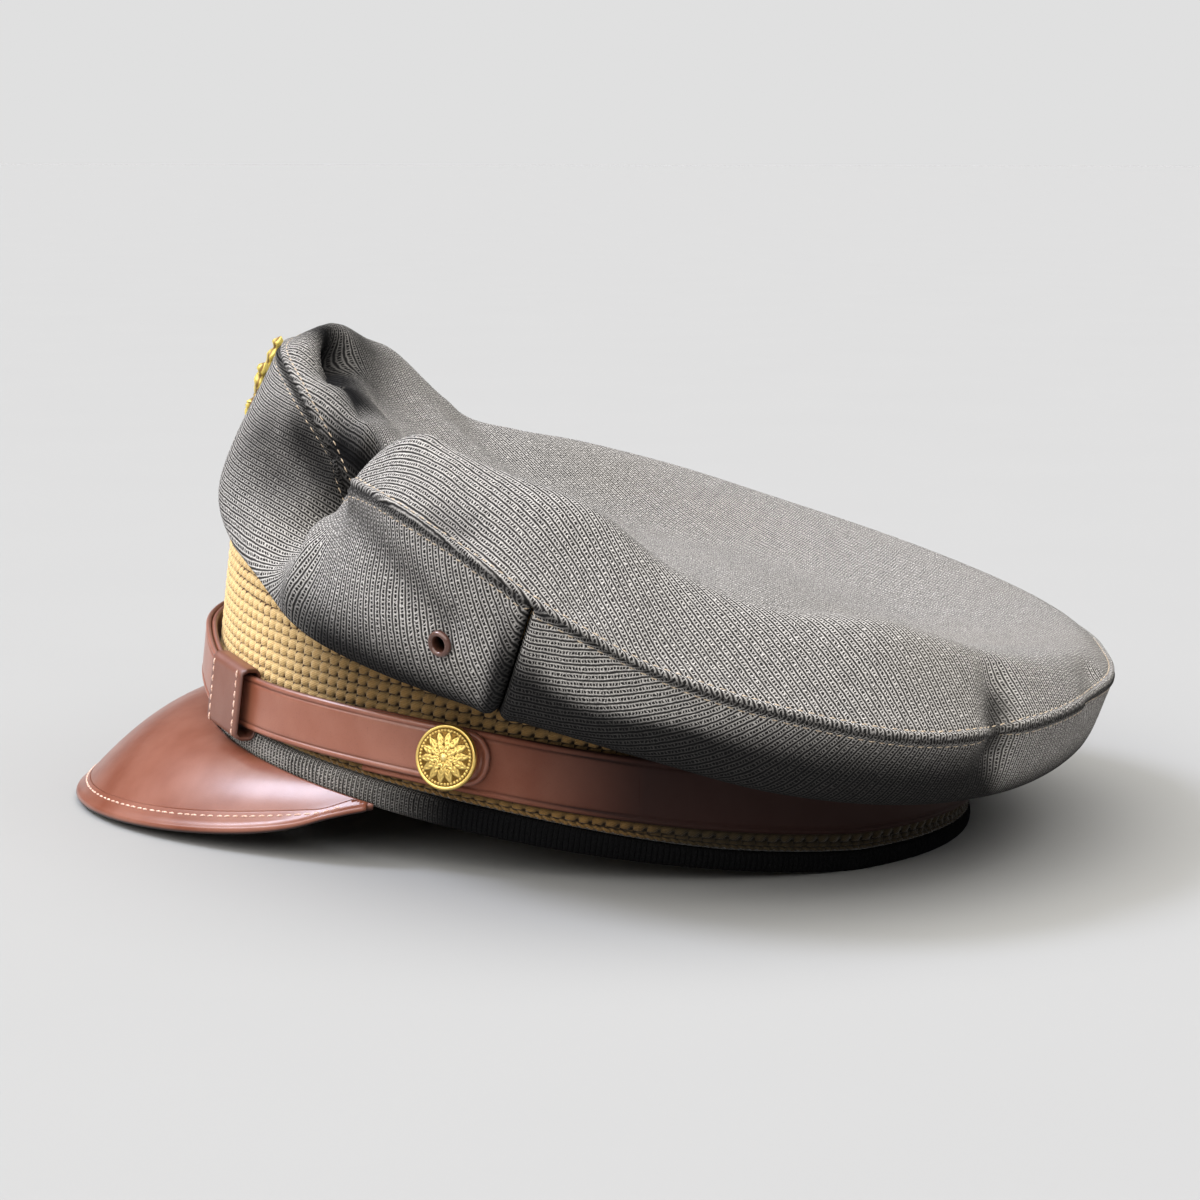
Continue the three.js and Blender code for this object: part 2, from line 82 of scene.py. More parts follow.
def stacked(*grids):                         # grids of points as one list
    return np.concatenate([grid.reshape(-1, 3) for grid in grids])


def numbered(grid):                          # each point's number, in the grid's own shape
    return np.arange(grid[..., 0].size).reshape(grid.shape[:-1])


def fromFront(turn):                         # degrees from the front, to either side
    return np.abs((np.asarray(turn) + 180) % 360 - 180)


def sideShade(turn, start, full):            # 0 at the front, 1 from the sides to the back
    return ease(start, full, fromFront(turn))


# The cap's own frame: mm from the middle of its rim, visor toward -Y, before it leans back

head = {"halfWidth": 85, "halfLength": 105}                          # outer face of the band
resting = {"lean": math.radians(7.6), "heel": 92, "nose": 139.7}     # rim lies flat behind the heel

leanCos, leanSin = math.cos(resting["lean"]), math.sin(resting["lean"])
floorSlope = math.tan(resting["lean"])
noseDrop = (resting["heel"] + resting["nose"]) * floorSlope
rimLow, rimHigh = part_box("rim_binding")
capShift = np.array([
    (rimLow.x + rimHigh.x) * 500,
    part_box("visor_edge")[0].y * 1000 + resting["nose"] * leanCos + noseDrop * leanSin,
    resting["heel"] * leanSin,
])


def toWorld(points):                         # cap mm to metres on the floor
    x, y, z = np.moveaxis(np.asarray(points, float), -1, 0)
    leaning = np.stack([x, y * leanCos + z * leanSin, z * leanCos - y * leanSin], -1)
    return (leaning + capShift) / 1000


def ovalOut(turn):                           # turn is in degrees from the front toward the wearer's left
    a = np.radians(turn)
    way = np.stack([np.sin(a) / head["halfWidth"], -np.cos(a) / head["halfLength"], 0 * a], -1)
    return unit(way)


def ovalPoint(turn, out, height):
    turn, out, height = np.broadcast_arrays(np.asarray(turn, float), out, height)
    a = np.radians(turn)
    point = np.stack([head["halfWidth"] * np.sin(a), -head["halfLength"] * np.cos(a), height + 0 * a], -1)
    point = point + ovalOut(turn) * out[..., None]
    dieOut = np.clip(1 - height / band["top"], 0, 1)
    point[..., 2] += np.maximum(0, point[..., 1] - resting["heel"]) * floorSlope * dieOut
    return point


def ovalTurns(count):                        # turns that are evenly spaced along the rim
    fine = np.linspace(0, 360, 2881)
    ring = ovalPoint(fine, 0.0, 0.0)
    run = runLength(ring, 0)
    return np.interp(np.arange(count) * run[-1] / count, run, fine), run[-1]


# Meshes

def quads(a, b, c, d):                       # faces from four grids of corners
    return np.stack([a, b, c, d], -1).reshape(-1, 4)


def cells(grid):                             # the corners of each cell, in turn round it
    return grid[:-1, :-1], grid[1:, :-1], grid[1:, 1:], grid[:-1, 1:]


def wallFaces(columns, rows, closes, cut=None, innerRows=None):   # an outer grid and an inner one, joined
    outer = np.arange(columns * rows).reshape(columns, rows)
    inner = columns * rows + np.arange(columns * (innerRows or rows)).reshape(columns, -1)
    if closes:
        outer, inner = (np.concatenate([grid, grid[:1]]) for grid in (outer, inner))
    keep = slice(None) if cut is None else ~cut
    a, b, c, d = (corner[keep] for corner in cells(inner))
    sets = [
        quads(*(corner[keep] for corner in cells(outer))),
        quads(a, d, c, b),
        quads(outer[:-1, 0], inner[:-1, 0], inner[1:, 0], outer[1:, 0]),
        quads(outer[:-1, -1], outer[1:, -1], inner[1:, -1], inner[:-1, -1]),
    ]
    if not closes:
        sets.append(quads(outer[0, :-1], outer[0, 1:], inner[0, 1:], inner[0, :-1]))
        sets.append(quads(outer[-1, :-1], inner[-1, :-1], inner[-1, 1:], outer[-1, 1:]))
    if cut is not None:                      # walls round the cut
        for column, row in np.argwhere(cut):
            ring = [corner[column, row] for corner in cells(outer)]
            beside = cut[column, row - 1], cut[column + 1, row], cut[column, row + 1], cut[column - 1, row]
            for here, there, cutToo in zip(ring, ring[1:] + ring[:1], beside):
                if not cutToo:
                    sets.append(np.array([[here, there, there + columns * rows, here + columns * rows]]))
    return np.concatenate(sets)


def addObject(name, data):
    made = bpy.data.objects.new(name, data)
    bpy.context.scene.collection.objects.link(made)
    return made


def addPiece(name, points, faceSets, look, stands=(), marks=None):
    mesh = bpy.data.meshes.new(name)
    points = np.ascontiguousarray(points, np.float32)
    corners = np.concatenate([faces.ravel() for faces in faceSets]).astype(np.int32)
    sizes = np.concatenate([np.full(len(faces), faces.shape[1]) for faces in faceSets])
    mesh.vertices.add(len(points))
    mesh.vertices.foreach_set("co", points.ravel())
    mesh.loops.add(len(corners))
    mesh.loops.foreach_set("vertex_index", corners)
    mesh.polygons.add(len(sizes))
    mesh.polygons.foreach_set("loop_start", np.concatenate([[0], np.cumsum(sizes)[:-1]]).astype(np.int32))
    mesh.update(calc_edges=True)
    mesh.validate()
    mesh.polygons.foreach_set("use_smooth", np.full(len(mesh.polygons), True))
    for mark, values in (marks or {}).items():
        values = np.asarray(values, np.float32)
        kind, field = ("FLOAT", "value") if values.ndim == 1 else ("FLOAT_VECTOR", "vector")
        mesh.attributes.new(mark, kind, "POINT").data.foreach_set(field, values.ravel())
    mesh.materials.append(look)
    piece = addObject(name, mesh)
    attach(piece, "root")
    if stands:
        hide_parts(*stands)
    print("made", name, len(mesh.polygons), "faces")
    return piece


# Materials: a wire is a socket that does sums, and a look is one material

class Wire:
    def __init__(self, look, socket):
        self.look = look
        self.socket = socket

    def __add__(self, other):
        return self.look.sums("ADD", self, other)

    def __radd__(self, other):
        return self.look.sums("ADD", other, self)

    def __sub__(self, other):
        return self.look.sums("SUBTRACT", self, other)

    def __rsub__(self, other):
        return self.look.sums("SUBTRACT", other, self)

    def __mul__(self, other):
        return self.look.sums("MULTIPLY", self, other)

    def __rmul__(self, other):
        return self.look.sums("MULTIPLY", other, self)

    def __truediv__(self, other):
        return self.look.sums("DIVIDE", self, other)

    def __rtruediv__(self, other):
        return self.look.sums("DIVIDE", other, self)

    def __pow__(self, other):
        return self.look.sums("POWER", self, other)

    def __rpow__(self, other):
        return self.look.sums("POWER", other, self)

    def __abs__(self):
        return self.look.sums("ABSOLUTE", self)


class Look:
    def __init__(self, name, fixed):
        self.material = bpy.data.materials.new(name)
        self.material.use_nodes = True
        self.tree = self.material.node_tree
        self.shader = self.tree.nodes["Principled BSDF"]
        for socket, value in fixed.items():
            self.shader.inputs[socket].default_value = value

    def join(self, value, socket):
        if isinstance(value, Wire):
            self.tree.links.new(value.socket, socket)
        else:
            socket.default_value = value

    def node(self, kind, settings=None, inputs=None, output=0):
        made = self.tree.nodes.new("ShaderNode" + kind)
        for setting, value in (settings or {}).items():
            setattr(made, setting, value)
        for socket, value in (inputs or {}).items():
            self.join(value, made.inputs[socket])
        return Wire(self, made.outputs[output])

    def sums(self, operation, *values):
        return self.node("Math", {"operation": operation}, dict(enumerate(values)))

    def larger(self, first, second):
        return self.sums("MAXIMUM", first, second)

    def limit(self, value):                  # kept from 0 to 1
        return self.node("Clamp", {}, {"Value": value})

    def step(self, value, low, high):        # 0 below low, 1 above high
        return self.node("MapRange", {"interpolation_type": "SMOOTHSTEP"},
                         {"Value": value, "From Min": low, "From Max": high})

    def mark(self, name, output="Fac"):
        return self.node("Attribute", {"attribute_name": name}, output=output)

    def split(self, vector):
        made = self.node("SeparateXYZ", {}, {0: vector})
        return [Wire(self, socket) for socket in made.socket.node.outputs]

    def place(self):                         # metres in the part's frame
        return self.node("TexCoord", output="Object")

    def stretch(self, vector, scale):
        return self.node("VectorMath", {"operation": "MULTIPLY"}, {0: vector, 1: scale})

    def noise(self, vector, scale, detail=2.0):
        return self.node("TexNoise", {}, {"Vector": vector, "Scale": scale, "Detail": detail})

    def mix(self, share, first, second):
        return self.node("Mix", {"data_type": "RGBA"}, {0: share, 6: first, 7: second}, output=2)

    def bump(self, height, deep, strength=1.0):
        return self.node("Bump", {}, {"Strength": strength, "Distance": deep, "Height": height})

    def feed(self, **wires):
        sockets = {"colour": "Base Color", "rough": "Roughness", "metal": "Metallic",
                   "coat": "Coat Weight", "normal": "Normal"}
        for name, wire in wires.items():
            self.join(wire, self.shader.inputs[sockets[name]])
        return self.material


def shade(red, green, blue):                 # a colour as seen, from 0 to 255
    values = [c / 255 for c in (red, green, blue)]
    return [v / 12.92 if v < 0.04045 else ((v + 0.055) / 1.055) ** 2.4 for v in values] + [1.0]


clothFinish = {
    "pitch": 1.9, "link": 0.8,              # mm from groove to groove, and from link to link along a rib
    "groove": shade(34, 33, 33), "yarn": shade(98, 96, 94), "pale": shade(195, 191, 187),
    "dust": shade(150, 142, 130), "dusty": 0.12, "paintedShade": shade(17, 17, 18),   # the last is the colour of the painted shade
    "sway": (0.5, 0.22), "bright": (3.2, 0.6, 1.12),         # slow and quick; fuzz, patches and dullness
    "slow": 0.08, "quick": 0.6, "shift": 0.9, "fuzz": 2.6, "patch": 0.3, "worn": 14.0,   # sizes of noise
    "deep": 0.0004,                          # metres of bump
}


def ribbedCloth(name, shaded):               # a chain of links up the middle of each rib
    look = Look(name, {"Roughness": 1.0, "Specular IOR Level": 0.05})
    weave = look.mark("weave", "Vector")
    across, down, _ = look.split(weave)
    slow, quick = clothFinish["sway"]
    wander = (look.noise(weave, clothFinish["slow"]) - 0.5) * slow
    wander = wander + (look.noise(weave, clothFinish["quick"]) - 0.5) * quick
    fromGroove = look.sums("PINGPONG", across / clothFinish["pitch"] + wander, 0.5) * 2.0
    rail = look.step(fromGroove, 0.06, 0.42) * 0.93 + 0.07
    shift = look.noise(weave, clothFinish["shift"]) * 1.6
    link = look.sums("SINE", (down / clothFinish["link"] + shift) * math.tau) * 0.5 + 0.5
    eye = look.step(fromGroove, 0.5, 0.82) * look.step(link, 0.08, 0.55)
    fuzz = look.noise(weave, clothFinish["fuzz"], 4.0)
    patch = look.noise(weave, clothFinish["patch"], 3.0)
    crest = look.limit(rail * (1.0 - eye * 0.95))
    fuzzy, patchy, dull = clothFinish["bright"]
    bright = look.limit(crest * (fuzz * fuzzy + patch * patchy - dull))
    yarn = look.mix(bright, clothFinish["yarn"], clothFinish["pale"])
    colour = look.mix(crest, clothFinish["groove"], yarn)
    worn = look.step(look.noise(look.place(), clothFinish["worn"], 3.0), 0.45, 0.8)
    colour = look.mix(worn * clothFinish["dusty"], colour, clothFinish["dust"])
    # painted shade: toward the darkest colour where the shadow mark is, and by shaded over the whole piece
    colour = look.mix(look.limit(look.mark("shadow") + shaded), colour, clothFinish["paintedShade"])
    return look.feed(colour=colour, normal=look.bump(crest + fuzz * 0.5, clothFinish["deep"], 0.8))


braidFinish = {
    "gap": shade(74, 46, 18), "strand": shade(208, 163, 98), "lit": shade(250, 223, 167),
    "shade": shade(108, 77, 36), "pit": shade(15, 11, 5), "back": shade(50, 41, 25),   # painted shade
    "ply": 0.5, "deep": 0.001,               # mm between the yarns of a strand, metres of bump
    "slow": 0.09, "quick": 0.4, "fuzz": 2400.0, "grubby": 35.0, "grubbiness": 0.12,      # sizes of noise
    "low": (9.0, 16.0), "lowDark": 0.5, "backFrom": (0.87, 0.97),       # mm up where the painted shade toward the lower edge fades out, how dark it is, and where the back's painted shade is
}
braidStrand = {            # mm, and the same strands in relief and in colour
    "pitch": 3.35, "row": 2.7, "tilt": 0.6, "long": 2.35, "wide": 1.44, "taper": 0.5, "slope": 0.36,
    "power": 1.6, "lean": 0.34, "press": 1.45, "ridge": 0.42, "cordTwist": 2.1,
    "sway": (0.16, 0.22),                    # slow and quick wander of the colours
}


def strandRelief(beside, above, larger):     # the same sums for points and for wires
    form = braidStrand
    cosine, sine = math.cos(form["tilt"]), math.sin(form["tilt"])
    along = (beside * cosine + above * sine) / form["long"]
    ply = above * cosine - beside * sine
    narrow = ply / (form["wide"] * (1.0 - along * form["taper"]))
    strand = larger(1.0 - abs(along) ** form["power"] - abs(narrow) ** form["power"], 0.0) ** 0.5
    strand = strand * (1.0 - form["slope"] - along * form["slope"])
    lift = above * (2.0 / form["row"]) - beside * (form["lean"] * 2.0 / form["pitch"])
    ridge = larger(1.0 - lift * lift * form["press"], 0.0) ** 0.5
    return larger(strand, ridge * form["ridge"]), ply


def knittedBraid(name):
    look = Look(name, {"Roughness": 0.85, "Sheen Weight": 0.2, "Sheen Roughness": 0.4,
                       "Specular IOR Level": 0.2})
    weave = look.mark("braid", "Vector")
    run, up, cord = look.split(weave)
    slow, quick = braidStrand["sway"]
    sway = look.noise(weave, braidFinish["slow"]) * slow + look.noise(weave, braidFinish["quick"]) * quick
    beside = (look.sums("FRACT", run / braidStrand["pitch"] + sway) - 0.5) * braidStrand["pitch"]
    above = (look.sums("FRACT", up / braidStrand["row"] + sway) - 0.5) * braidStrand["row"]
    relief, ply = strandRelief(beside, above, look.larger)
    onCord = 1.0 - look.step(cord, 0.96, 1.04)
    twist = look.sums("SINE", (run / braidStrand["cordTwist"] + cord) * math.tau) * 0.3 + 0.7
    cordRise = look.sums("SINE", look.limit(cord) * math.pi) * twist
    relief = relief * (1.0 - onCord) + cordRise * onCord
    yarn = look.sums("SINE", ply * (math.tau / braidFinish["ply"])) * 0.5 + 0.5
    fuzz = look.noise(look.place(), braidFinish["fuzz"], 3.0)
    top = look.mix(look.limit(yarn * 0.45 + fuzz * 0.8 - 0.1), braidFinish["strand"], braidFinish["lit"])
    colour = look.mix(look.step(relief, 0.04, 0.5), braidFinish["gap"], top)
    grubby = look.step(look.noise(look.place(), braidFinish["grubby"], 3.0), 0.5, 0.85)
    grubby = grubby * braidFinish["grubbiness"]
    # painted shade that darkens the band toward its lower edge, mixed with the dirt patches toward the gap
    # colour
    lowShade = (1.0 - look.step(up, *braidFinish["low"])) * braidFinish["lowDark"]
    colour = look.mix(look.limit(grubby + lowShade), colour, braidFinish["gap"])
    shadow = look.mark("shadow")
    shaded = look.mix(look.step(shadow, *braidFinish["backFrom"]), braidFinish["shade"], braidFinish["back"])
    shaded = look.mix(look.step(relief, 0.1, 0.7), braidFinish["pit"], shaded)
    colour = look.mix(shadow, colour, shaded)
    height = relief * 0.5 + yarn * 0.08 + fuzz * 0.14
    return look.feed(colour=colour, normal=look.bump(height, braidFinish["deep"], 0.8))


leatherFinish = {
    "tan": shade(152, 97, 78), "russet": shade(124, 61, 35), "burnt": shade(44, 24, 20),
    "scuff": shade(190, 140, 118), "pores": 0.00006,         # metres of bump
    "cloud": 48.0, "pore": 2600.0, "scratch": (420.0, 900.0, 60.0), "gloss": 130.0,      # sizes of noise
    "poreDark": 0.18, "scuffed": 0.1,
}


def russetLeather(name, rough, coat, warmth, gleam, shaded):
    look = Look(name, {"Specular IOR Level": gleam, "Coat Roughness": 0.22, "Coat IOR": 1.45})
    place = look.place()
    cloud = look.noise(place, leatherFinish["cloud"], 4.0)
    colour = look.mix(look.step(cloud, 0.3, 0.72) * warmth, leatherFinish["tan"], leatherFinish["russet"])
    pores = look.noise(place, leatherFinish["pore"], 3.0)
    pitted = look.step(pores, 0.55, 0.75) * leatherFinish["poreDark"]
    colour = look.mix(pitted, colour, leatherFinish["burnt"])
    scratch = look.step(look.noise(look.stretch(place, leatherFinish["scratch"]), 1.0, 2.0), 0.7, 0.76)
    colour = look.mix(scratch * leatherFinish["scuffed"], colour, leatherFinish["scuff"])
    # burnish holds rubbed, darker edges and, on the rear strap, painted shade toward the back; shaded darkens
    # the whole piece
    edge = look.limit(look.mark("burnish") + shaded)
    colour = look.mix(edge, colour, leatherFinish["burnt"])
    gloss = look.noise(place, leatherFinish["gloss"], 3.0)
    roughness = look.limit(gloss * 0.22 + scratch * 0.15 + (rough - 0.11) + edge * 0.2)
    return look.feed(colour=colour, rough=roughness, coat=look.limit(coat - scratch * 0.2 - edge * 0.3),
                     normal=look.bump(pores, leatherFinish["pores"], 0.5))


giltFinish = {
    "gold": shade(240, 206, 122), "pit": shade(96, 62, 18), "rub": shade(255, 240, 176), "metal": 1.0,
}
badgeFinish = {
    "gold": shade(240, 216, 112), "pit": shade(112, 80, 26), "rub": shade(255, 242, 176), "metal": 0.5,
}


def giltBrass(name, finish):
    look = Look(name, {"Metallic": finish["metal"], "Specular IOR Level": 0.6})
    relief = look.mark("relief")
    tarnish = look.noise(look.place(), 900.0, 3.0)
    colour = look.mix(look.step(relief, 0.1, 0.75), finish["pit"], finish["gold"])
    colour = look.mix(look.step(relief, 0.8, 1.0) * 0.5, colour, finish["rub"])
    return look.feed(colour=colour, rough=look.limit(tarnish * 0.25 + 0.34 - relief * 0.16),
                     normal=look.bump(tarnish, 0.00003, 0.4))


enamelFinish = {"brown": shade(86, 54, 44), "chip": shade(150, 110, 84)}


def brownEnamel(name):
    look = Look(name, {"Metallic": 0.25, "Coat Roughness": 0.12})
    wear = look.noise(look.place(), 1500.0, 3.0)
    colour = look.mix(look.step(wear, 0.62, 0.74) * 0.6, enamelFinish["brown"], enamelFinish["chip"])
    return look.feed(colour=colour, rough=look.limit(wear * 0.25 + 0.22), coat=look.limit(0.9 - wear * 0.4))


def sewingThread(name, first, second):
    look = Look(name, {"Roughness": 0.8, "Sheen Weight": 0.3, "Specular IOR Level": 0.3})
    strand = look.noise(look.place(), 2600.0, 2.0)
    colour = look.mix(look.step(strand, 0.35, 0.65), first, second)
    return look.feed(colour=colour, normal=look.bump(strand, 0.00008, 0.6))


cloth = ribbedCloth("crownCloth", shaded=0.0)
rimCloth = ribbedCloth("rimCloth", shaded=0.1)
braidLook = knittedBraid("bandBraid")
strapLeather = russetLeather("strapLeather", rough=0.36, coat=0.35, warmth=0.6, gleam=0.5, shaded=0.0)
visorLeather = russetLeather("visorLeather", rough=0.32, coat=0.6, warmth=0.95, gleam=0.2, shaded=0.26)
# a darker, duller copy of the strap leather: painted shade for the rear strap under the crown
rearLeather = russetLeather("rearLeather", rough=0.5, coat=0.0, warmth=0.7, gleam=0.2, shaded=0.1)
gilt = giltBrass("giltBrass", giltFinish)
badgeGilt = giltBrass("badgeGilt", badgeFinish)
enamel = brownEnamel("eyeletEnamel")
clothThread = sewingThread("clothThread", shade(146, 128, 110), shade(208, 188, 160))
leatherThread = sewingThread("leatherThread", shade(196, 150, 128), shade(240, 208, 190))
print("materials ready")


# Stitches: short rounded threads along a line of points, joined in one mesh

thread = {"sides": 6, "places": np.array([-1, -0.8, 0, 0.8, 1]), "girth": np.array([0.3, 0.85, 1, 0.85, 0.3]),
          "uneven": 0.06, "askew": 0.05, "dip": 0.6}


def stitchRow(path, outward, form):          # form: pitch, long, wide, proud and slant of its stitches
    run = runLength(path, 0)
    count = int(run[-1] // form["pitch"])
    middles = (np.arange(count) + 0.5) * run[-1] / count
    middles = middles + random.normal(0, thread["uneven"], count) * form["pitch"]
    centre = follow(path, run, middles)
    ahead = unit(follow(path, run, middles + 0.6) - follow(path, run, middles - 0.6))
    out = unit(follow(outward, run, middles))
    side = np.cross(out, ahead)
    lean = form["slant"] + random.normal(0, thread["askew"], count)[:, None]
    ahead, side = ahead * np.cos(lean) + side * np.sin(lean), side * np.cos(lean) - ahead * np.sin(lean)
    around = np.arange(thread["sides"]) * math.tau / thread["sides"]
    ring = (
        side[:, None, None] * (np.cos(around) * form["wide"] / 2)[:, None]
        + out[:, None, None] * (np.sin(around) * form["proud"])[:, None]
    ) * thread["girth"][None, :, None, None]
    size = form["long"] * (1 + random.normal(0, thread["uneven"], count))
    places = thread["places"]
    spine = ahead[:, None, None] * (places[:, None] * size[:, None, None] / 2)[..., None]
    dip = out[:, None, None] * (-(places ** 2) * form["proud"] * thread["dip"])[:, None, None]
    points = centre[:, None, None] + spine + dip + ring
    index = numbered(points)
    after = np.roll(index, -1, 2)
    caps = np.concatenate([index[:, 0, ::-1], index[:, -1]])
    return points.reshape(-1, 3), [quads(index[:, :-1], after[:, :-1], after[:, 1:], index[:, 1:]), caps]


def joinMeshes(meshes):                      # each is its points and its sets of faces
    starts = np.cumsum([0] + [len(points) for points, _ in meshes])
    sets = [[faces + start for faces in faceSets] for start, (_, faceSets) in zip(starts, meshes)]
    return np.concatenate([points for points, _ in meshes]), [np.concatenate(kind) for kind in zip(*sets)]


# Band, before the crown that hangs over it

band = {
    "bottom": 6.8, "top": 48, "wall": 2, "low": 4.9,       # low is its lower edge round the back
    "relief": 1.5, "cord": 1.6, "columns": 1220, "rows": 78,
    "lowTurns": (92, 132), "shade": 0.86, "shadeTurns": (48, 76),     # painted shade under the crown
    "backShade": 0.12, "backTurns": (102, 130), "mean": 0.6,          # relief that lies on the band's oval
}


def rimTop(turn, front, rear):               # the rim is rolled lower behind the buttons
    return front + (rear - front) * sideShade(turn, *band["lowTurns"])


def makeBand():
    turns, girth = ovalTurns(band["columns"])
    bottom = rimTop(turns, band["bottom"], band["low"])[:, None]
    share = np.linspace(0, 1, band["rows"])[None, :]
    heights = bottom + (band["top"] - bottom) * share
    run = np.arange(band["columns"]) * girth / band["columns"]
    strands = round(girth / braidStrand["pitch"])           # whole strands all the way round
    run = run[:, None] * braidStrand["pitch"] * strands / girth + 0 * heights
    sway = sum(braidStrand["sway"]) / 2
    beside = ((run / braidStrand["pitch"] + sway) % 1 - 0.5) * braidStrand["pitch"]
    above = ((heights / braidStrand["row"] + sway) % 1 - 0.5) * braidStrand["row"]
    relief = strandRelief(beside, above, np.maximum)[0]
    cord = (heights - bottom) / band["cord"]                # the twisted cord at the lower edge
    twist = 0.7 + 0.3 * np.sin((run / braidStrand["cordTwist"] + cord) * math.tau)
    relief = np.where(cord < 1, np.sin(np.clip(cord, 0, 1) * math.pi) * twist, relief)
    out = (relief - band["mean"]) * band["relief"]
    outer = ovalPoint(turns[:, None], out, heights)
    inner = ovalPoint(turns[:, None], -band["wall"], np.concatenate([bottom, 0 * bottom + band["top"]], 1))
    faces = wallFaces(band["columns"], band["rows"], True, innerRows=2)
    points = toWorld(stacked(outer, inner))
    weave = np.stack([run, heights, cord], -1).reshape(-1, 3)
    dark = band["shade"] * sideShade(turns, *band["shadeTurns"])
    dark = dark + band["backShade"] * sideShade(turns, *band["backTurns"])
    dark = dark[:, None] + 0 * heights
    inside = 2 * len(turns)
    marks = {"braid": np.concatenate([weave, np.full((inside, 3), 20.0)]),      # one plain strand inside
             "shadow": np.concatenate([dark.ravel(), np.zeros(inside)])}
    piece = addPiece("bandBraid", points, [faces], braidLook, ["band_braid"], marks)


# Rim binding: a roll of the same cloth, its ribs standing upright

binding = {
    "top": 6.6, "rear": 4.7, "proud": 0.9, "wall": 3.8, "pitch": 1.35, "rib": 0.26, "perRib": 5, "foot": 1.1,
    "shade": 0.9, "shadeTurns": (68, 92), "flat": 0.0115,
    "arc": (-0.42, 0.5), "arcRows": 11,      # half turns, from the foot up over the roll
    "tall": 0.75, "plump": 0.6,
}


def makeBinding():
    ribs = round(ovalTurns(8)[1] / binding["pitch"])
    turns, girth = ovalTurns(ribs * binding["perRib"])
    around = np.linspace(*binding["arc"], binding["arcRows"]) * math.pi
    half = rimTop(turns, binding["top"], binding["rear"])[:, None] / 2
    ribWave = np.cos(np.arange(len(turns)) / binding["perRib"] * math.tau)
    rise = half + half * (np.sign(np.sin(around)) * np.abs(np.sin(around)) ** binding["tall"])[None, :]
    bulge = binding["proud"] - binding["wall"] / 2 * (1 - np.abs(np.cos(around)) ** binding["plump"])
    out = bulge[None, :] + binding["rib"] * ribWave[:, None] * np.cos(around)[None, :]
    outer = ovalPoint(turns[:, None], out, rise)
    backOut = binding["proud"] - binding["wall"]
    inner = ovalPoint(turns[:, None], backOut + 0 * out, np.clip(rise, 0.4, 2 * half - 0.2))
    middle = binding["proud"] - binding["wall"] / 2
    outer[:, 0] = ovalPoint(turns, middle + binding["foot"], 0.0)
    inner[:, 0] = ovalPoint(turns, middle - binding["foot"], 0.0)
    run = (np.arange(len(turns)) / binding["perRib"] + 0.5) * clothFinish["pitch"]
    weave = np.stack(np.broadcast_arrays(run[:, None], runLength(outer, 1), 0.0), -1)
    faces = wallFaces(len(turns), len(around), True)
    points = toWorld(stacked(outer, inner))
    dark = (binding["shade"] * sideShade(turns, *binding["shadeTurns"]))[:, None] + 0 * rise
    marks = {"weave": stacked(weave, weave), "shadow": np.concatenate([dark.ravel()] * 2)}
    piece = addPiece("rimBinding", points, [faces], rimCloth, ["rim_binding"], marks)


# Crown: distances out from its middle and heights, for a row of turns round it

crown = {
    "wall": 1.6, "centreY": 15, "middle": 58, "hem": 48.3, "levelOut": 0.4, "levelUp": 0.15,
    "seamTurn": 97.5, "seamSlant": 8, "seamReach": 50,
    "topColumns": 450, "topRows": 56, "topRun": 130, "sideColumns": 300, "sideRows": 46, "sideRun": 50,
    "weltRows": 15, "weltRun": 5.5, "foldShares": (0.22, 0.55), "foldReach": (2, 0.06), "gap": 0.1,
    "topCut": (0.26, 0.3), "topArea": 0.045, "sideCut": (0.36, 0.1), "sideUse": 0.62,
}
crownRows = np.array([     # turn, bulge out and up, seam out and up, ridge out and up, basin out and up
    (-158, 115, 29, 122, 47, 111, 53, 64, 50),
    (-140, 116, 30, 126, 46, 112, 53, 62, 50),
    (-115, 113, 34, 123, 50, 108, 56, 60, 51),
    (-90, 109, 38, 118, 57, 104, 61, 58, 53),
    (-68, 106, 43, 112, 64, 99, 68, 56, 56),
    (-52, 106, 48, 103, 66, 93, 73, 54, 59),
    (-38, 111, 54, 97, 72, 88, 76, 56, 63),
    (-24, 117, 62, 103, 82, 92, 80, 66, 69),
    (-12, 120, 68, 110, 95, 99, 95, 78, 82),
    (0, 120, 70, 113, 99, 102, 105, 83, 86),
    (12, 121, 68, 111, 99, 98, 105, 79, 85),
    (24, 118, 63, 101, 92, 87, 98, 68, 80),
    (34, 114, 56, 95, 83, 81, 92, 60, 75),
    (46, 110, 50, 92, 69, 76, 85, 54, 68),
    (60, 109, 43, 100, 78, 86, 88, 52, 66),
    (72, 107, 40, 110, 81, 92, 93, 54, 65),
    (86, 107, 38, 116, 76, 94, 91, 55, 64),
    (100, 109, 36, 120, 65, 96, 87, 57, 62),
    (113, 111, 33, 123, 56, 98, 75, 58, 59),
    (127, 114, 29, 126, 50, 102, 69, 60, 56),
    (142, 116, 27, 128, 46, 105, 68, 62, 54),
    (158, 116, 27, 126, 47, 110, 61, 64, 53),
    (180, 115, 29, 123, 49, 111, 56, 64, 51),
], float)


def crownStations(turn):                     # a smooth curve through the rows, round and round
    knots = np.concatenate([crownRows[:, 0] + lap for lap in (-360, 0, 360)])
    values = np.concatenate([crownRows[:, 1:]] * 3)
    slopes = np.zeros_like(values)
    slopes[1:-1] = (values[2:] - values[:-2]) / (knots[2:] - knots[:-2])[:, None]
    k = np.searchsorted(knots, turn) - 1
    width = (knots[k + 1] - knots[k])[:, None]
    return hermite(values[k], values[k + 1], slopes[k] * width, slopes[k + 1] * width,
                   (turn - knots[k])[:, None] / width)


def hermite(start, end, enter, leave, t):
    rise = end - start
    return start + t * (enter + t * (3 * rise - 2 * enter - leave + t * (enter + leave - 2 * rise)))


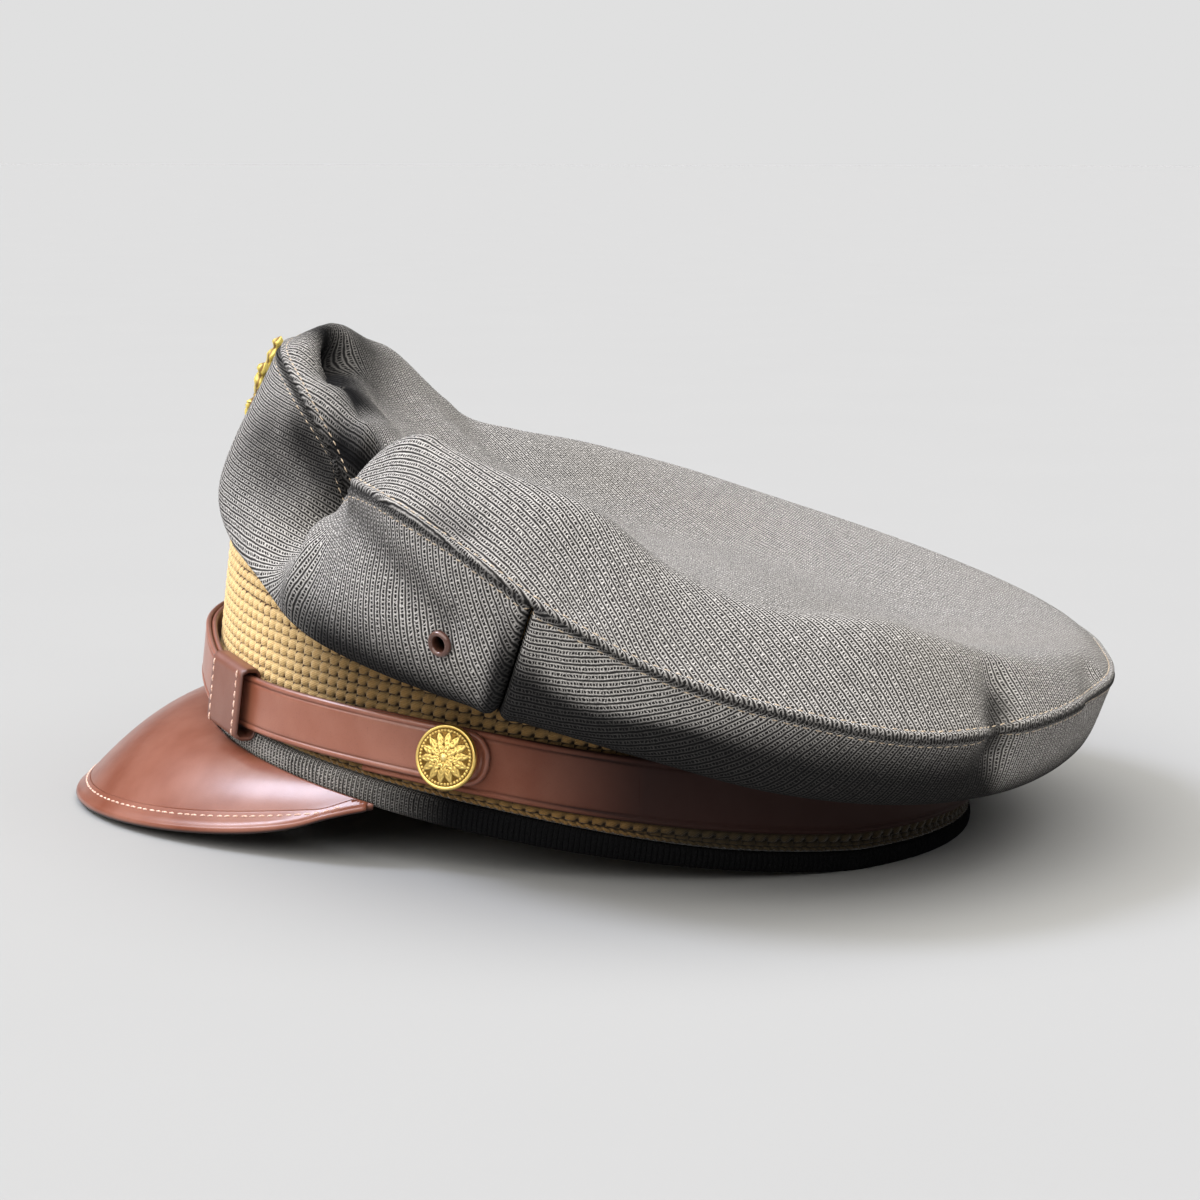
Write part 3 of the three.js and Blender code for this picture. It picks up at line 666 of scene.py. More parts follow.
def profile(stations, share):                # a smooth curve through each set of stations
    steps = np.linalg.norm(np.diff(stations, axis=1), axis=2)
    knots = np.concatenate([np.zeros((len(steps), 1)), np.cumsum(steps, 1)], 1)
    place = np.clip(share, 0, 1) * knots[:, -1]
    last = stations.shape[1] - 1
    ahead, behind = np.minimum(np.arange(last + 1) + 1, last), np.maximum(np.arange(last + 1) - 1, 0)
    slopes = (stations[:, ahead] - stations[:, behind]) / (knots[:, ahead] - knots[:, behind])[..., None]
    k = (place[:, None] > knots[:, 1:-1]).sum(1)
    row = np.arange(len(k))
    width = (knots[row, k + 1] - knots[row, k])[:, None]
    t = (place - knots[row, k])[:, None] / width
    enter, leave = slopes[row, k] * width, slopes[row, k + 1] * width
    return hermite(stations[row, k], stations[row, k + 1], enter, leave, t)


def hemOut(turn):                            # from the crown's middle to the band
    a = np.radians(turn)
    across = (np.sin(a) / head["halfWidth"]) ** 2 + (np.cos(a) / head["halfLength"]) ** 2
    half = crown["centreY"] * np.cos(a) / head["halfLength"] ** 2
    rest = (crown["centreY"] / head["halfLength"]) ** 2 - 1
    return (half + np.sqrt(half * half - across * rest)) / across


def crownPoints(turn, along):                # along is 0 to 1 up the sides, 1 to 2 over the top
    turn, along = np.broadcast_arrays(np.asarray(turn, float), np.asarray(along, float))
    shape = turn.shape
    turn, along = (turn.ravel() + 180) % 360 - 180, along.ravel()
    bulge, seam, ridge, basin = np.split(crownStations(turn), 4, axis=1)
    hem = np.stack([hemOut(turn), np.full_like(turn, crown["hem"])], 1)
    middle = np.stack([0 * turn, np.full_like(turn, crown["middle"])], 1)
    level = np.stack([crown["levelOut"] * basin[:, 0],
                      crown["middle"] + crown["levelUp"] * (basin[:, 1] - crown["middle"])], 1)
    side = profile(np.stack([hem, bulge, seam], 1), along)
    top = profile(np.stack([seam, ridge, basin, level, middle], 1), along - 1)
    out, up = np.where((along <= 1)[:, None], side, top).T
    a = np.radians(turn)
    return np.stack([out * np.sin(a), crown["centreY"] - out * np.cos(a), up], -1).reshape(*shape, 3)


def seamLean(turn, along):                   # the side seams lean forward toward the band
    sideways = np.where(turn > 180, turn - 360, turn)
    share = 1 - ease(0, crown["seamReach"], np.abs(np.abs(sideways) - crown["seamTurn"]))
    return turn - np.sign(sideways) * crown["seamSlant"] * share * np.maximum(0, 1 - along)


folds = [                  # a line of turns and alongs; deep is how far in the cloth goes, out if negative
    {"line": [(17, 1.13), (8, 1.16)], "wide": 7, "deep": 17},
    {"line": [(14, 1.07), (8, 1.09)], "wide": 5, "deep": -2},
    {"line": [(22, 1.13), (30, 1.14)], "wide": 8, "deep": 5},
    {"line": [(-12, 1.08), (-22, 1.1)], "wide": 8, "deep": -2.5},
    {"line": [(43, 1.0), (44, 1.06), (47, 1.16)], "wide": 8, "deep": 12},
    {"line": [(36, 0.95), (40, 1.0), (44, 1.1)], "wide": 15, "deep": 11},
    {"line": [(64, 0.99), (66, 1.08), (72, 1.16)], "wide": 6, "deep": -2.2},
    {"line": [(50, 0.92), (56, 0.7), (56.5, 0.42)], "wide": 5, "deep": -3},
    {"line": [(42, 0.9), (45, 0.65), (45, 0.5)], "wide": 8, "deep": 3},
    {"line": [(62, 0.93), (73, 0.84), (80, 0.77), (86, 0.72)], "wide": 6, "deep": 1.5},
    {"line": [(155, 1.09), (153, 1.03), (153, 0.9)], "wide": 5.5, "deep": 3.0},
    {"line": [(180, 1.04), (174, 1.0)], "wide": 5, "deep": 2.0},
    {"line": [(101, 1.12), (103, 1.06)], "wide": 7, "deep": 1.6},
    {"line": [(107, 1.0), (111, 1.02)], "wide": 6, "deep": 1.3},
    {"line": [(88, 1.03), (83, 1.02)], "wide": 6, "deep": 0.9},
]


def foldWay(turn, along):                    # out of the cloth, the same on either side of a seam
    turn, along = np.broadcast_arrays(turn, along)
    turned, up = crown["foldReach"]
    beside = crownPoints(turn + turned, along) - crownPoints(turn - turned, along)
    above = crownPoints(turn, along + up) - crownPoints(turn, along - up)
    return unit(np.cross(beside, above))


def fromLine(points, places):                # how far each point is from a line on the crown
    places = np.array(places)
    share = np.linspace(0, len(places) - 1, 25)
    turn, along = (np.interp(share, np.arange(len(places)), places[:, k]) for k in (0, 1))
    nearest = np.full(points.shape[:-1], 1e9)
    for point in crownPoints(turn, along):
        nearest = np.minimum(nearest, np.linalg.norm(points - point, axis=-1))
    return nearest


def foldDepth(points):
    return sum(fold["deep"] * bell(fromLine(points, fold["line"]), fold["wide"]) for fold in folds)


shades = [                 # painted shade where the light doesn't reach, on lines like those of the folds
    {"line": [(25, 0.7), (30, 0.67), (33, 0.7)], "wide": 11, "dark": 0.66},
    {"line": [(29, 0.87), (34, 0.88), (36.5, 0.95), (37, 1.0)], "wide": 9.5, "dark": 0.92},
    {"line": [(34, 1.03), (37, 1.05), (39, 1.07)], "wide": 10, "dark": 1.0},
    {"line": [(6, 1.1), (5, 1.15), (8, 1.2), (15, 1.205), (22, 1.18), (26, 1.18)], "wide": 9.5, "dark": 1.0},
    {"line": [(3, 1.13), (5, 1.2), (15, 1.22), (24, 1.2), (32, 1.19)], "wide": 9, "dark": 0.4},
    {"line": [(-2, 1.15), (1, 1.19), (5, 1.23)], "wide": 12, "dark": 0.74},
    {"line": [(64, 0.93), (72, 0.86), (79, 0.81), (85.5, 0.75)], "wide": 4.5, "dark": 0.44},
    {"line": [(86, 1.04), (83, 1.03)], "wide": 5, "dark": 0.36},
    {"line": [(154.5, 1.06), (153, 1.02), (153, 0.9)], "wide": 4, "dark": 0.8},
]


def heldShade(points):
    dark = np.zeros(points.shape[:-1])
    for held in shades:
        dark = np.maximum(dark, held["dark"] * bell(fromLine(points, held["line"]), held["wide"]))
    return dark


welt = {"stitch": 2.4, "sinkWide": 0.55, "power": 1.6}
topWelt = {"deep": 1.1, "round": 1.0, "puff": 0.5, "puffAt": 1.4, "puffWide": 0.7, "sink": 0.3}
quarterWelt = {"deep": 1.3, "round": 1.0, "puff": 0.1, "puffAt": 1.4, "puffWide": 0.7, "sink": 0.3}
sideSeam = {"deep": 1.5, "round": 1.6, "puff": 0.5, "puffAt": 3, "puffWide": 2.2, "sink": 0}


def weltRise(fromSeam, form):                # rolled edge at a seam, then the dip along its stitches
    rolled = -form["deep"] * np.clip(1 - fromSeam / form["round"], 0, 1) ** welt["power"]
    puffed = form["puff"] * bell(fromSeam - form["puffAt"], form["puffWide"])
    return rolled + puffed - form["sink"] * bell(fromSeam - welt["stitch"], welt["sinkWide"])


# Shade that is painted down in the seams and deep folds, and under the crown

seamShade = {"dark": 0.9, "top": 0.65, "quarter": 0.95, "inset": 0.7, "side": 0.9}       # mm wide
foldShade = {"dark": 0.9, "depths": (1.5, 13), "shares": (0.84, 0.96)}
underShades = {            # dark below low, clear above high; each change comes in between two turns
    "crownFront": {
        "dark": 0.95, "turns": (44, 66),
        "low": [(0.38, -1, 0), (0.32, 90.5, 94.5)],
        "high": [(0.66, -1, 0), (0.32, 90.5, 94.5)],
    },
    "crownRear": {
        "dark": 0.94, "turns": (44, 66),
        "low": [(0.7, -1, 0), (0.11, 103, 118), (-0.16, 151, 158)],
        "high": [(0.9, -1, 0), (-0.1, 97, 102), (0.3, 103, 140), (-0.26, 151, 158)],
    },
}


def seamShadow(fromSeam, place):
    return seamShade["dark"] * bell(fromSeam, seamShade[place])


def foldShadow(depth):
    return foldShade["dark"] * ease(*foldShade["depths"], depth)


def underShadow(turn, share, form):
    low, high = (sum(change * sideShade(turn, start, full) for change, start, full in form[edge])
                 for edge in ("low", "high"))
    return form["dark"] * sideShade(turn, *form["turns"]) * (1 - ease(low, high, share))


def weltedShares(rows, length):              # shares along a panel from its seam, close together at the welt
    near = np.linspace(0, crown["weltRun"] / length, crown["weltRows"])
    return np.concatenate([near, np.linspace(near[-1], 1, rows)[1:]])


def clothWall(outer, closes):
    return outer - gridNormals(outer, closes) * crown["wall"]


def stitchLine(outer, fromSeam):             # the line on a panel where its stitches run
    return np.stack([follow(column, run, welt["stitch"]) for run, column in zip(fromSeam, outer)])


ribs = {
    "top": 160, "middle": 105,               # degrees in the top panel, mm to the middle of a quarter's arc
    "crownFront": (66, 1.7, 1.2), "crownRear": (152, 1.4, 1.0),     # turn where upright, fan, spacing
    "closer": 0.7, "closerTurns": (34, 64),
}


def ribWeave(flat, angle):                   # across and along the ribs, from a flat pattern
    a = math.radians(angle)
    along = flat[..., 0] * math.sin(a) - flat[..., 1] * math.cos(a)
    across = flat[..., 0] * math.cos(a) + flat[..., 1] * math.sin(a)
    return np.stack([across, along, 0 * along], -1)


def makeTop():
    turns = -crown["seamTurn"] + np.arange(crown["topColumns"]) * 360 / crown["topColumns"]
    shares = weltedShares(crown["topRows"], crown["topRun"])[:-1]
    base = crownPoints(turns[:, None], 1 + shares[None, :])
    fromSeam = runLength(base, 1)
    depth = foldDepth(base)
    folded = foldWay(turns[:, None], 1 + shares[None, :]) * depth[..., None]
    outer = base + gridNormals(base, True) * weltRise(fromSeam, topWelt)[..., None] - folded
    inner = clothWall(outer, True)
    toMiddle = fromSeam[:, -1:] - fromSeam + np.linalg.norm(base[:, -1:, :2] - [0, crown["centreY"]], axis=-1)
    a = np.radians(turns)[:, None]
    weave = ribWeave(np.stack([toMiddle * np.sin(a), -toMiddle * np.cos(a)], -1), ribs["top"])
    rows = len(shares)
    count = len(turns) * rows
    faces = wallFaces(len(turns), rows, True)
    ring = np.arange(len(turns)) * rows + rows - 1
    after = np.roll(ring, -1)
    lid = np.stack([ring + count, after + count, after, ring], -1)         # drops the inner rim wall
    drop = {tuple(sorted(face)) for face in lid}
    faces = np.array([face for face in faces if tuple(sorted(face)) not in drop])
    fans = np.concatenate([
        np.stack([ring, after, np.full_like(ring, 2 * count)], -1),
        np.stack([after + count, ring + count, np.full_like(ring, 2 * count + 1)], -1),
    ])
    pole = crownPoints(0.0, 2.0)
    points = stacked(outer, inner, pole, pole - [0, 0, crown["wall"]])
    dark = np.maximum.reduce([seamShadow(fromSeam, "top"), foldShadow(depth), heldShade(base)]).ravel()
    marks = {"weave": stacked(weave, weave, np.zeros((2, 3))),
             "shadow": np.concatenate([dark, dark, [0, 0]])}
    piece = addPiece("crownTop", toWorld(points), [faces, fans], cloth, ["crown_top"], marks)
    return stitchLine(outer, fromSeam), stitchLine(gridNormals(outer, True), fromSeam)


eyelet = {
    "turn": 85.5, "along": 0.65, "hole": 1.75, "flange": 3.2, "cut": 2.5, "depth": 2.6, "lip": 0.95,
    "lift": 0.15, "wall": 0.4, "under": 0.1, "sides": 48,
}


def makeQuarter(name, node, first, last, eyelets):
    turns = np.linspace(first, last, crown["sideColumns"])
    shares = 1 - weltedShares(crown["sideRows"], crown["sideRun"])[::-1]
    leaned = seamLean(turns[:, None], shares[None, :])
    base = crownPoints(leaned, shares[None, :])
    toSeam = runLength(base[:, ::-1], 1)[:, ::-1]
    fromHem = runLength(base, 1)
    runRound = runLength(base, 0)
    fromSide = np.minimum(runRound, runRound[-1:] - runRound)
    rise = weltRise(toSeam, quarterWelt) + weltRise(fromSide, sideSeam)
    depth = foldDepth(base) * ease(*crown["foldShares"], shares)[None, :]
    folded = foldWay(leaned, shares[None, :]) * depth[..., None]
    outer = base + gridNormals(base, False) * rise[..., None] - folded
    inner = clothWall(outer, False)
    upright, fan, apart = ribs[name]
    closer = 1 + ribs["closer"] * (1 - sideShade(turns, *ribs["closerTurns"]))[:, None]
    radius = ribs["middle"] / fan + (fromHem - fromHem[:, -1:] / 2) * closer
    a = np.radians(turns * fan)[:, None]
    weave = ribWeave(np.stack([radius * np.sin(a), -radius * np.cos(a)], -1), upright * fan) / apart
    cut = None
    if eyelets:
        middles = sum(cells(outer)) / 4
        cut = np.zeros(middles.shape[:2], bool)
        for side in (1, -1):
            spot = crownPoints(side * eyelet["turn"], eyelet["along"])
            cut |= np.linalg.norm(middles - spot, axis=-1) < eyelet["cut"]
    faces = wallFaces(len(turns), len(shares), False, cut)
    points = toWorld(stacked(outer, inner))
    dark = np.maximum.reduce([
        seamShadow(toSeam - seamShade["inset"], "quarter"),
        seamShadow(fromSide, "side"),
        foldShadow(depth) * ease(*foldShade["shares"], shares),
        heldShade(base),
        underShadow(leaned, shares[None, :], underShades[name]),
    ]).ravel()
    marks = {"weave": stacked(weave, weave), "shadow": np.concatenate([dark, dark])}
    piece = addPiece(name, points, [faces], cloth, [node], marks)
    normals = gridNormals(outer, False)
    return tuple(stitchLine(grid[:, ::-1], toSeam[:, ::-1]) for grid in (outer, normals))


crownStitch = {"pitch": 2.6, "long": 1.7, "wide": 0.38, "proud": 0.2, "slant": 0.12}


def makeCrown():
    lines = [makeTop()]
    side, gap = crown["seamTurn"], crown["gap"]
    lines.append(makeQuarter("crownFront", "crown_front", -side + gap, side - gap, True))
    lines.append(makeQuarter("crownRear", "crown_rear", side + gap, 360 - side - gap, False))
    lines[0] = tuple(np.concatenate([line, line[:1]]) for line in lines[0])
    points, faces = joinMeshes([stitchRow(path, outward, crownStitch) for path, outward in lines])
    addPiece("crownStitches", toWorld(points), faces, clothThread)


def makeEyelet(word, side):
    turn = side * eyelet["turn"]
    spot = crownPoints(turn, eyelet["along"])
    beside = crownPoints(turn + 1, eyelet["along"]) - crownPoints(turn - 1, eyelet["along"])
    above = crownPoints(turn, eyelet["along"] + 0.02) - crownPoints(turn, eyelet["along"] - 0.02)
    out = unit(np.cross(beside, above))
    right = unit(beside)
    up = np.cross(out, right)
    hole, flange, inside = eyelet["hole"], eyelet["flange"], eyelet["hole"] + eyelet["wall"]
    middle, half = (hole + flange) / 2, (flange - hole) / 2
    section = [(middle + half * math.cos(b), eyelet["lift"] + eyelet["lip"] * math.sin(b))
               for b in np.linspace(0, math.pi, 9)]
    section += [(hole, -eyelet["depth"]), (inside, -eyelet["depth"])]
    section += [(inside, -eyelet["under"]), (flange, -eyelet["under"])]
    around = np.arange(eyelet["sides"]) * math.tau / eyelet["sides"]
    radial = right * np.cos(around)[:, None] + up * np.sin(around)[:, None]
    grid = np.stack([spot + radial * r + out * h for r, h in section], 1)
    index = numbered(grid)
    after, onward = np.roll(index, -1, 0), np.roll(index, -1, 1)
    faces = quads(index, after, np.roll(after, -1, 1), onward)
    addPiece("eyelet" + word, toWorld(grid.reshape(-1, 3)), [faces], enamel,
             ["eyelet_" + word.lower()])


makeBand()
makeBinding()
makeCrown()
makeEyelet("Left", 1)
makeEyelet("Right", -1)


# Visor: side runs -1 to 1 from corner to corner, out 0 to 1 from rim to edge

visor = {
    "corner": 80, "out": 1.1, "under": 0.6, "wall": 1.5, "camber": 5.9, "droop": 0.43, "fullness": 0.81,
    "tip": 138.6, "halfWidth": 88, "cornerY": 28.6, "end": 0.99, "crowd": 82, "columns": 150, "rows": 44,
    "underBurnish": 0.7,
}
visorEdge = {
    "nose": 1.1, "seam": 1.5, "step": 1.2, "insets": (2.4, 2.1, 1.6, 1.1, 0.7, 0.3),
    "swell": (0.1, 0.16, 0.2, 0.26, 0.32, 0.34), "inside": 0.3, "seamSwell": 0.22,
    "thinEnd": 26, "thinnest": 0.3, "bareEnd": 6,            # in steps along the edge
    "endShares": (0.12, 0.97), "smoothing": 60, "burnish": 0.8, "burnishShares": (0.5, 0.62),
}
visorStitch = {"pitch": 2.7, "long": 1.9, "wide": 0.6, "proud": 0.26, "slant": 0.0}


def visorPoint(side, out):                   # lower face
    side, out = np.broadcast_arrays(np.asarray(side, float), np.asarray(out, float))
    root = ovalPoint(visor["corner"] * side, visor["out"], -visor["under"])
    a = side * math.pi / 2
    forward = np.maximum(0, np.cos(a))
    drop = (resting["heel"] + visor["tip"] + visorEdge["nose"]) * floorSlope - visorEdge["nose"]
    down = root[..., 2] - (drop + root[..., 2]) * forward ** visor["droop"]
    wide = visor["halfWidth"] * np.sign(side) * np.abs(np.sin(a)) ** visor["fullness"]
    front = -visor["cornerY"] - (visor["tip"] - visor["cornerY"]) * forward ** visor["fullness"]
    edge = np.stack([wide, front, down], -1)
    point = root + (edge - root) * out[..., None]
    point[..., 2] += visor["camber"] * forward * 4 * out * (1 - out)
    return point


def visorSides(count):
    crowd = np.radians(np.linspace(-visor["crowd"], visor["crowd"], count))
    return visor["end"] * np.sin(crowd) / math.sin(math.radians(visor["crowd"]))


def makeVisor():
    sides = visorSides(visor["columns"])
    outs = np.linspace(0, 1, visor["rows"])
    under = visorPoint(sides[:, None], outs[None, :])
    over = under + [0, 0, visor["wall"]]
    faces = wallFaces(len(sides), len(outs), False)[:, ::-1]
    points = toWorld(stacked(over, under))
    burnish = np.concatenate([np.zeros(over[..., 0].size), np.full(over[..., 0].size, visor["underBurnish"])])
    addPiece("visorLeather", points, [faces], visorLeather, ["visor"], {"burnish": burnish})


def visorOutline():                          # the free edge, with the short ends to the rim
    edge = visorPoint(visorSides(400), 1.0)
    share = np.linspace(*visorEdge["endShares"], 30)
    ends = [visorPoint(side, share) for side in (-visor["end"], visor["end"])]
    line = np.concatenate([ends[0], edge, ends[1][::-1]])
    for _ in range(visorEdge["smoothing"]):
        line[1:-1] = (line[:-2] + 2 * line[1:-1] + line[2:]) / 4
    run = runLength(line, 0)
    places = np.linspace(0, run[-1], int(run[-1] / visorEdge["step"]))
    return follow(line, run, places)


def makeVisorEdge():
    sides = visorSides(visor["columns"])
    under = visorPoint(sides[:, None], np.linspace(0, 1, visor["rows"])[None, :])
    sheet = quads(*cells(numbered(under)))
    tree = BVHTree.FromPolygons([Vector(p) for p in under.reshape(-1, 3)], sheet.tolist())
    line = visorOutline()
    ahead = unit(np.gradient(line, axis=0) * [1, 1, 0])
    inward = np.stack([-ahead[:, 1], ahead[:, 0], 0 * ahead[:, 0]], -1)
    wall, nose = visor["wall"], visorEdge["nose"]
    toEnd = np.minimum(np.arange(len(line)), np.arange(len(line))[::-1])
    lift = np.clip(toEnd / visorEdge["thinEnd"], visorEdge["thinnest"], 1)[:, None]

    def onVisor(inset):                      # the lower face that far in from the edge
        spots = line + inward * inset
        for k, spot in enumerate(spots):
            hit = tree.ray_cast(Vector((spot[0], spot[1], -200)), Vector((0, 0, 1)))[0]
            spots[k] = hit or tree.find_nearest(Vector(spot))[0]
        return spots

    lower = [onVisor(inset) for inset in visorEdge["insets"]]
    swell, inside = visorEdge["swell"], visorEdge["inside"]
    up = np.array([0, 0, 1.0])
    outer = [spot + up * (wall + s * lift) for spot, s in zip(lower, swell)]
    inner = [spot + up * (wall - inside) for spot in lower]
    for a in np.radians(np.linspace(70, -70, 9)):
        high = wall / 2 + (wall / 2 + 0.32 * lift) * math.sin(a)
        outer.append(line - inward * nose * math.cos(a) ** 0.8 + up * high)
        inner.append(line - inward * 0.2 * math.cos(a) + up * (wall / 2 + (wall / 2) * math.sin(a)))
    outer += [spot - up * s * lift for spot, s in zip(lower[::-1], swell[::-1])]
    inner += [spot + up * inside for spot in lower[::-1]]
    outer, inner = np.stack(outer, 1), np.stack(inner, 1)
    faces = wallFaces(len(line), outer.shape[1], False)[:, ::-1]
    points = toWorld(stacked(outer, inner))
    rows = np.linspace(0, 1, outer.shape[1])[None, :] + np.zeros((len(line), 1))
    burnish = ease(*visorEdge["burnishShares"], rows).ravel() * visorEdge["burnish"]
    burnish = np.concatenate([burnish, np.ones(rows.size)])
    addPiece("visorEdge", points, [faces], visorLeather, ["visor_edge"],
             {"burnish": burnish})
    bare = visorEdge["bareEnd"]
    seam = (onVisor(visorEdge["seam"]) + up * (wall + visorEdge["seamSwell"] * lift))[bare:-bare]
    points, faces = stitchRow(seam, np.tile(up, (len(seam), 1)), visorStitch)
    addPiece("visorStitches", toWorld(points), faces, leatherThread)


# Straps

strap = {
    "bottom": 12, "width": 14, "leather": 1.3, "seat": 2.2, "end": 96, "lap": 50, "lapTurns": (-68, -57),
    "sag": 6, "standOff": 0.55, "sagTurns": (98, 30), "rise": 5, "riseTurns": (46, 24),
    "tuck": 1.4, "tuckTurns": (64, 36), "gap": 0.3, "blunt": 2.3, "tipRows": 26, "step": 1.0,
    "rearEnd": 77, "rearSeat": 0.4, "rearLeather": 1.5, "rearBottom": 10, "rearWidth": 16,
    "line": 1.6, "lineDeep": 0.28, "lineWide": 0.28, "edge": 0.7, "edgeDrop": 0.55,
    "swell": 0.1, "swellAt": 0.85, "swellWide": 0.45,
    "burnish": 0.55, "burnishWide": 0.35, "lineBurnish": 0.3, "innerBurnish": 0.6,
    "innerRound": 0.3, "innerWide": 0.5,
    "backPaintedShade": 0.95, "backTurns": (86, 122),             # painted shade, darker toward the back under the crown
}
strapInsets = np.array([0, 0.1, 0.28, 0.5, 0.8, 1.1, 1.3, 1.45, 1.6, 1.75, 1.9, 2.2, 2.8, 4, 6])


def strapSag(turn):
    return ease(*strap["sagTurns"], np.abs(turn))


def strapMiddle(turn, rear=False):
    bottom, width = (strap["rearBottom"], strap["rearWidth"]) if rear else (strap["bottom"], strap["width"])
    front = strap["rise"] * ease(*strap["riseTurns"], np.abs(turn))          # up again over the visor
    return bottom + width / 2 - strap["sag"] * strapSag(turn) + front


def leftSeat(turn):
    tuck = strap["tuck"] * ease(*strap["tuckTurns"], np.abs(turn))
    return strap["seat"] + strap["standOff"] * strapSag(turn) - tuck


def rightSeat(turn):
    return leftSeat(turn) + (strap["leather"] + strap["gap"]) * ease(*strap["lapTurns"], turn)


def rearSeat(turn):
    return strap["rearSeat"] + 0 * turn


def strapTurns(first, last, rounded):        # closer together at a rounded end
    fine = np.linspace(first, last, 2000)
    run = runLength(ovalPoint(fine, 3.0, 10.0), 0)
    half = strap["width"] / 2
    ends = half * (1 - np.cos(np.linspace(0.02, 1, strap["tipRows"]) * math.pi / 2))
    start = ends if rounded == "first" else [0]
    finish = run[-1] - ends[::-1] if rounded == "last" else [run[-1]]
    between = np.arange(start[-1] + strap["step"], finish[0] - strap["step"] / 2, strap["step"])
    places = np.concatenate([start, between, finish])
    toEnd = {"first": places, "last": run[-1] - places, "none": np.full_like(places, 99)}[rounded]
    return np.interp(places, run, fine), toEnd


def makeStrap(name, node, first, last, seat, leather, rounded):
    turns, toEnd = strapTurns(first, last, rounded)
    rear = rounded == "none"
    half = (strap["rearWidth"] if rear else strap["width"]) / 2
    power = strap["blunt"]
    blunt = np.clip(1 - toEnd / half, 0, 1)
    halves = half * (1 - blunt ** power) ** (1 / power)
    shares = np.concatenate([-(1 - strapInsets / half), [0], (1 - strapInsets / half)[::-1]])
    rise = halves[:, None] * shares[None, :]
    toTip = toEnd[:, None] + 0 * rise
    rounder = half - (blunt[:, None] ** power + np.abs(rise / half) ** power) ** (1 / power) * half
    inset = np.where(toTip < half, rounder, np.minimum(half - np.abs(rise), toTip))
    inset = np.maximum(inset, 0)
    face = leather - strap["edgeDrop"] * np.clip(1 - inset / strap["edge"], 0, 1) ** 2
    face = face - strap["lineDeep"] * bell(inset - strap["line"], strap["lineWide"])
    face = face + strap["swell"] * bell(inset - strap["swellAt"], strap["swellWide"])
    heights = strapMiddle(turns, rear)[:, None] + rise
    seats = seat(turns)[:, None] + 0 * rise
    outer = ovalPoint(turns[:, None] + 0 * rise, seats + face, heights)
    under = strap["innerRound"] * np.clip(1 - inset / strap["innerWide"], 0, 1)
    inner = ovalPoint(turns[:, None] + 0 * rise, seats + under, heights)
    burnish = strap["burnish"] * np.clip(1 - inset / strap["burnishWide"], 0, 1)
    burnish = burnish + strap["lineBurnish"] * bell(inset - strap["line"], strap["lineWide"])
    # the rear strap gets painted shade, darker toward the back under the crown
    if rear:
        burnish = burnish + strap["backPaintedShade"] * sideShade(turns, *strap["backTurns"])[:, None]
    inside = np.full(inset.size, strap["innerBurnish"])
    marks = {"burnish": np.concatenate([np.minimum(burnish, 1).ravel(), inside])}
    faces = wallFaces(len(turns), len(shares), False)
    addPiece(name, toWorld(stacked(outer, inner)), [faces], rearLeather if rear else strapLeather,
             [node], marks)


keeper = {
    "turn": 47.5, "long": 19.5, "leather": 1, "slackOut": 0.6, "slackUp": 1.6, "stations": 29,
    "insideCorner": 1.4, "outsideCorner": 2.4, "fray": 0.16, "thin": 0.22, "curl": 0.25,
    "burnish": 0.4, "edgeBurnish": 0.35, "innerBurnish": 0.6,
    "seam": 2.3, "seamLift": 0.06, "seamOver": 0.2,
}
keeperStitch = {"pitch": 2.5, "long": 1.9, "wide": 0.6, "proud": 0.3, "slant": 0.0}


def keeperLoop(out, up, corner):             # a rounded rectangle, from its middle
    points = []
    for k, (x, y) in enumerate(((1, 1), (-1, 1), (-1, -1), (1, -1))):
        centre = np.array([x * (out - corner), y * (up - corner)])
        for a in np.radians(np.linspace(90 * k, 90 * k + 90, 7)):
            points.append(centre + corner * np.array([math.cos(a), math.sin(a)]))
    return np.array(points)


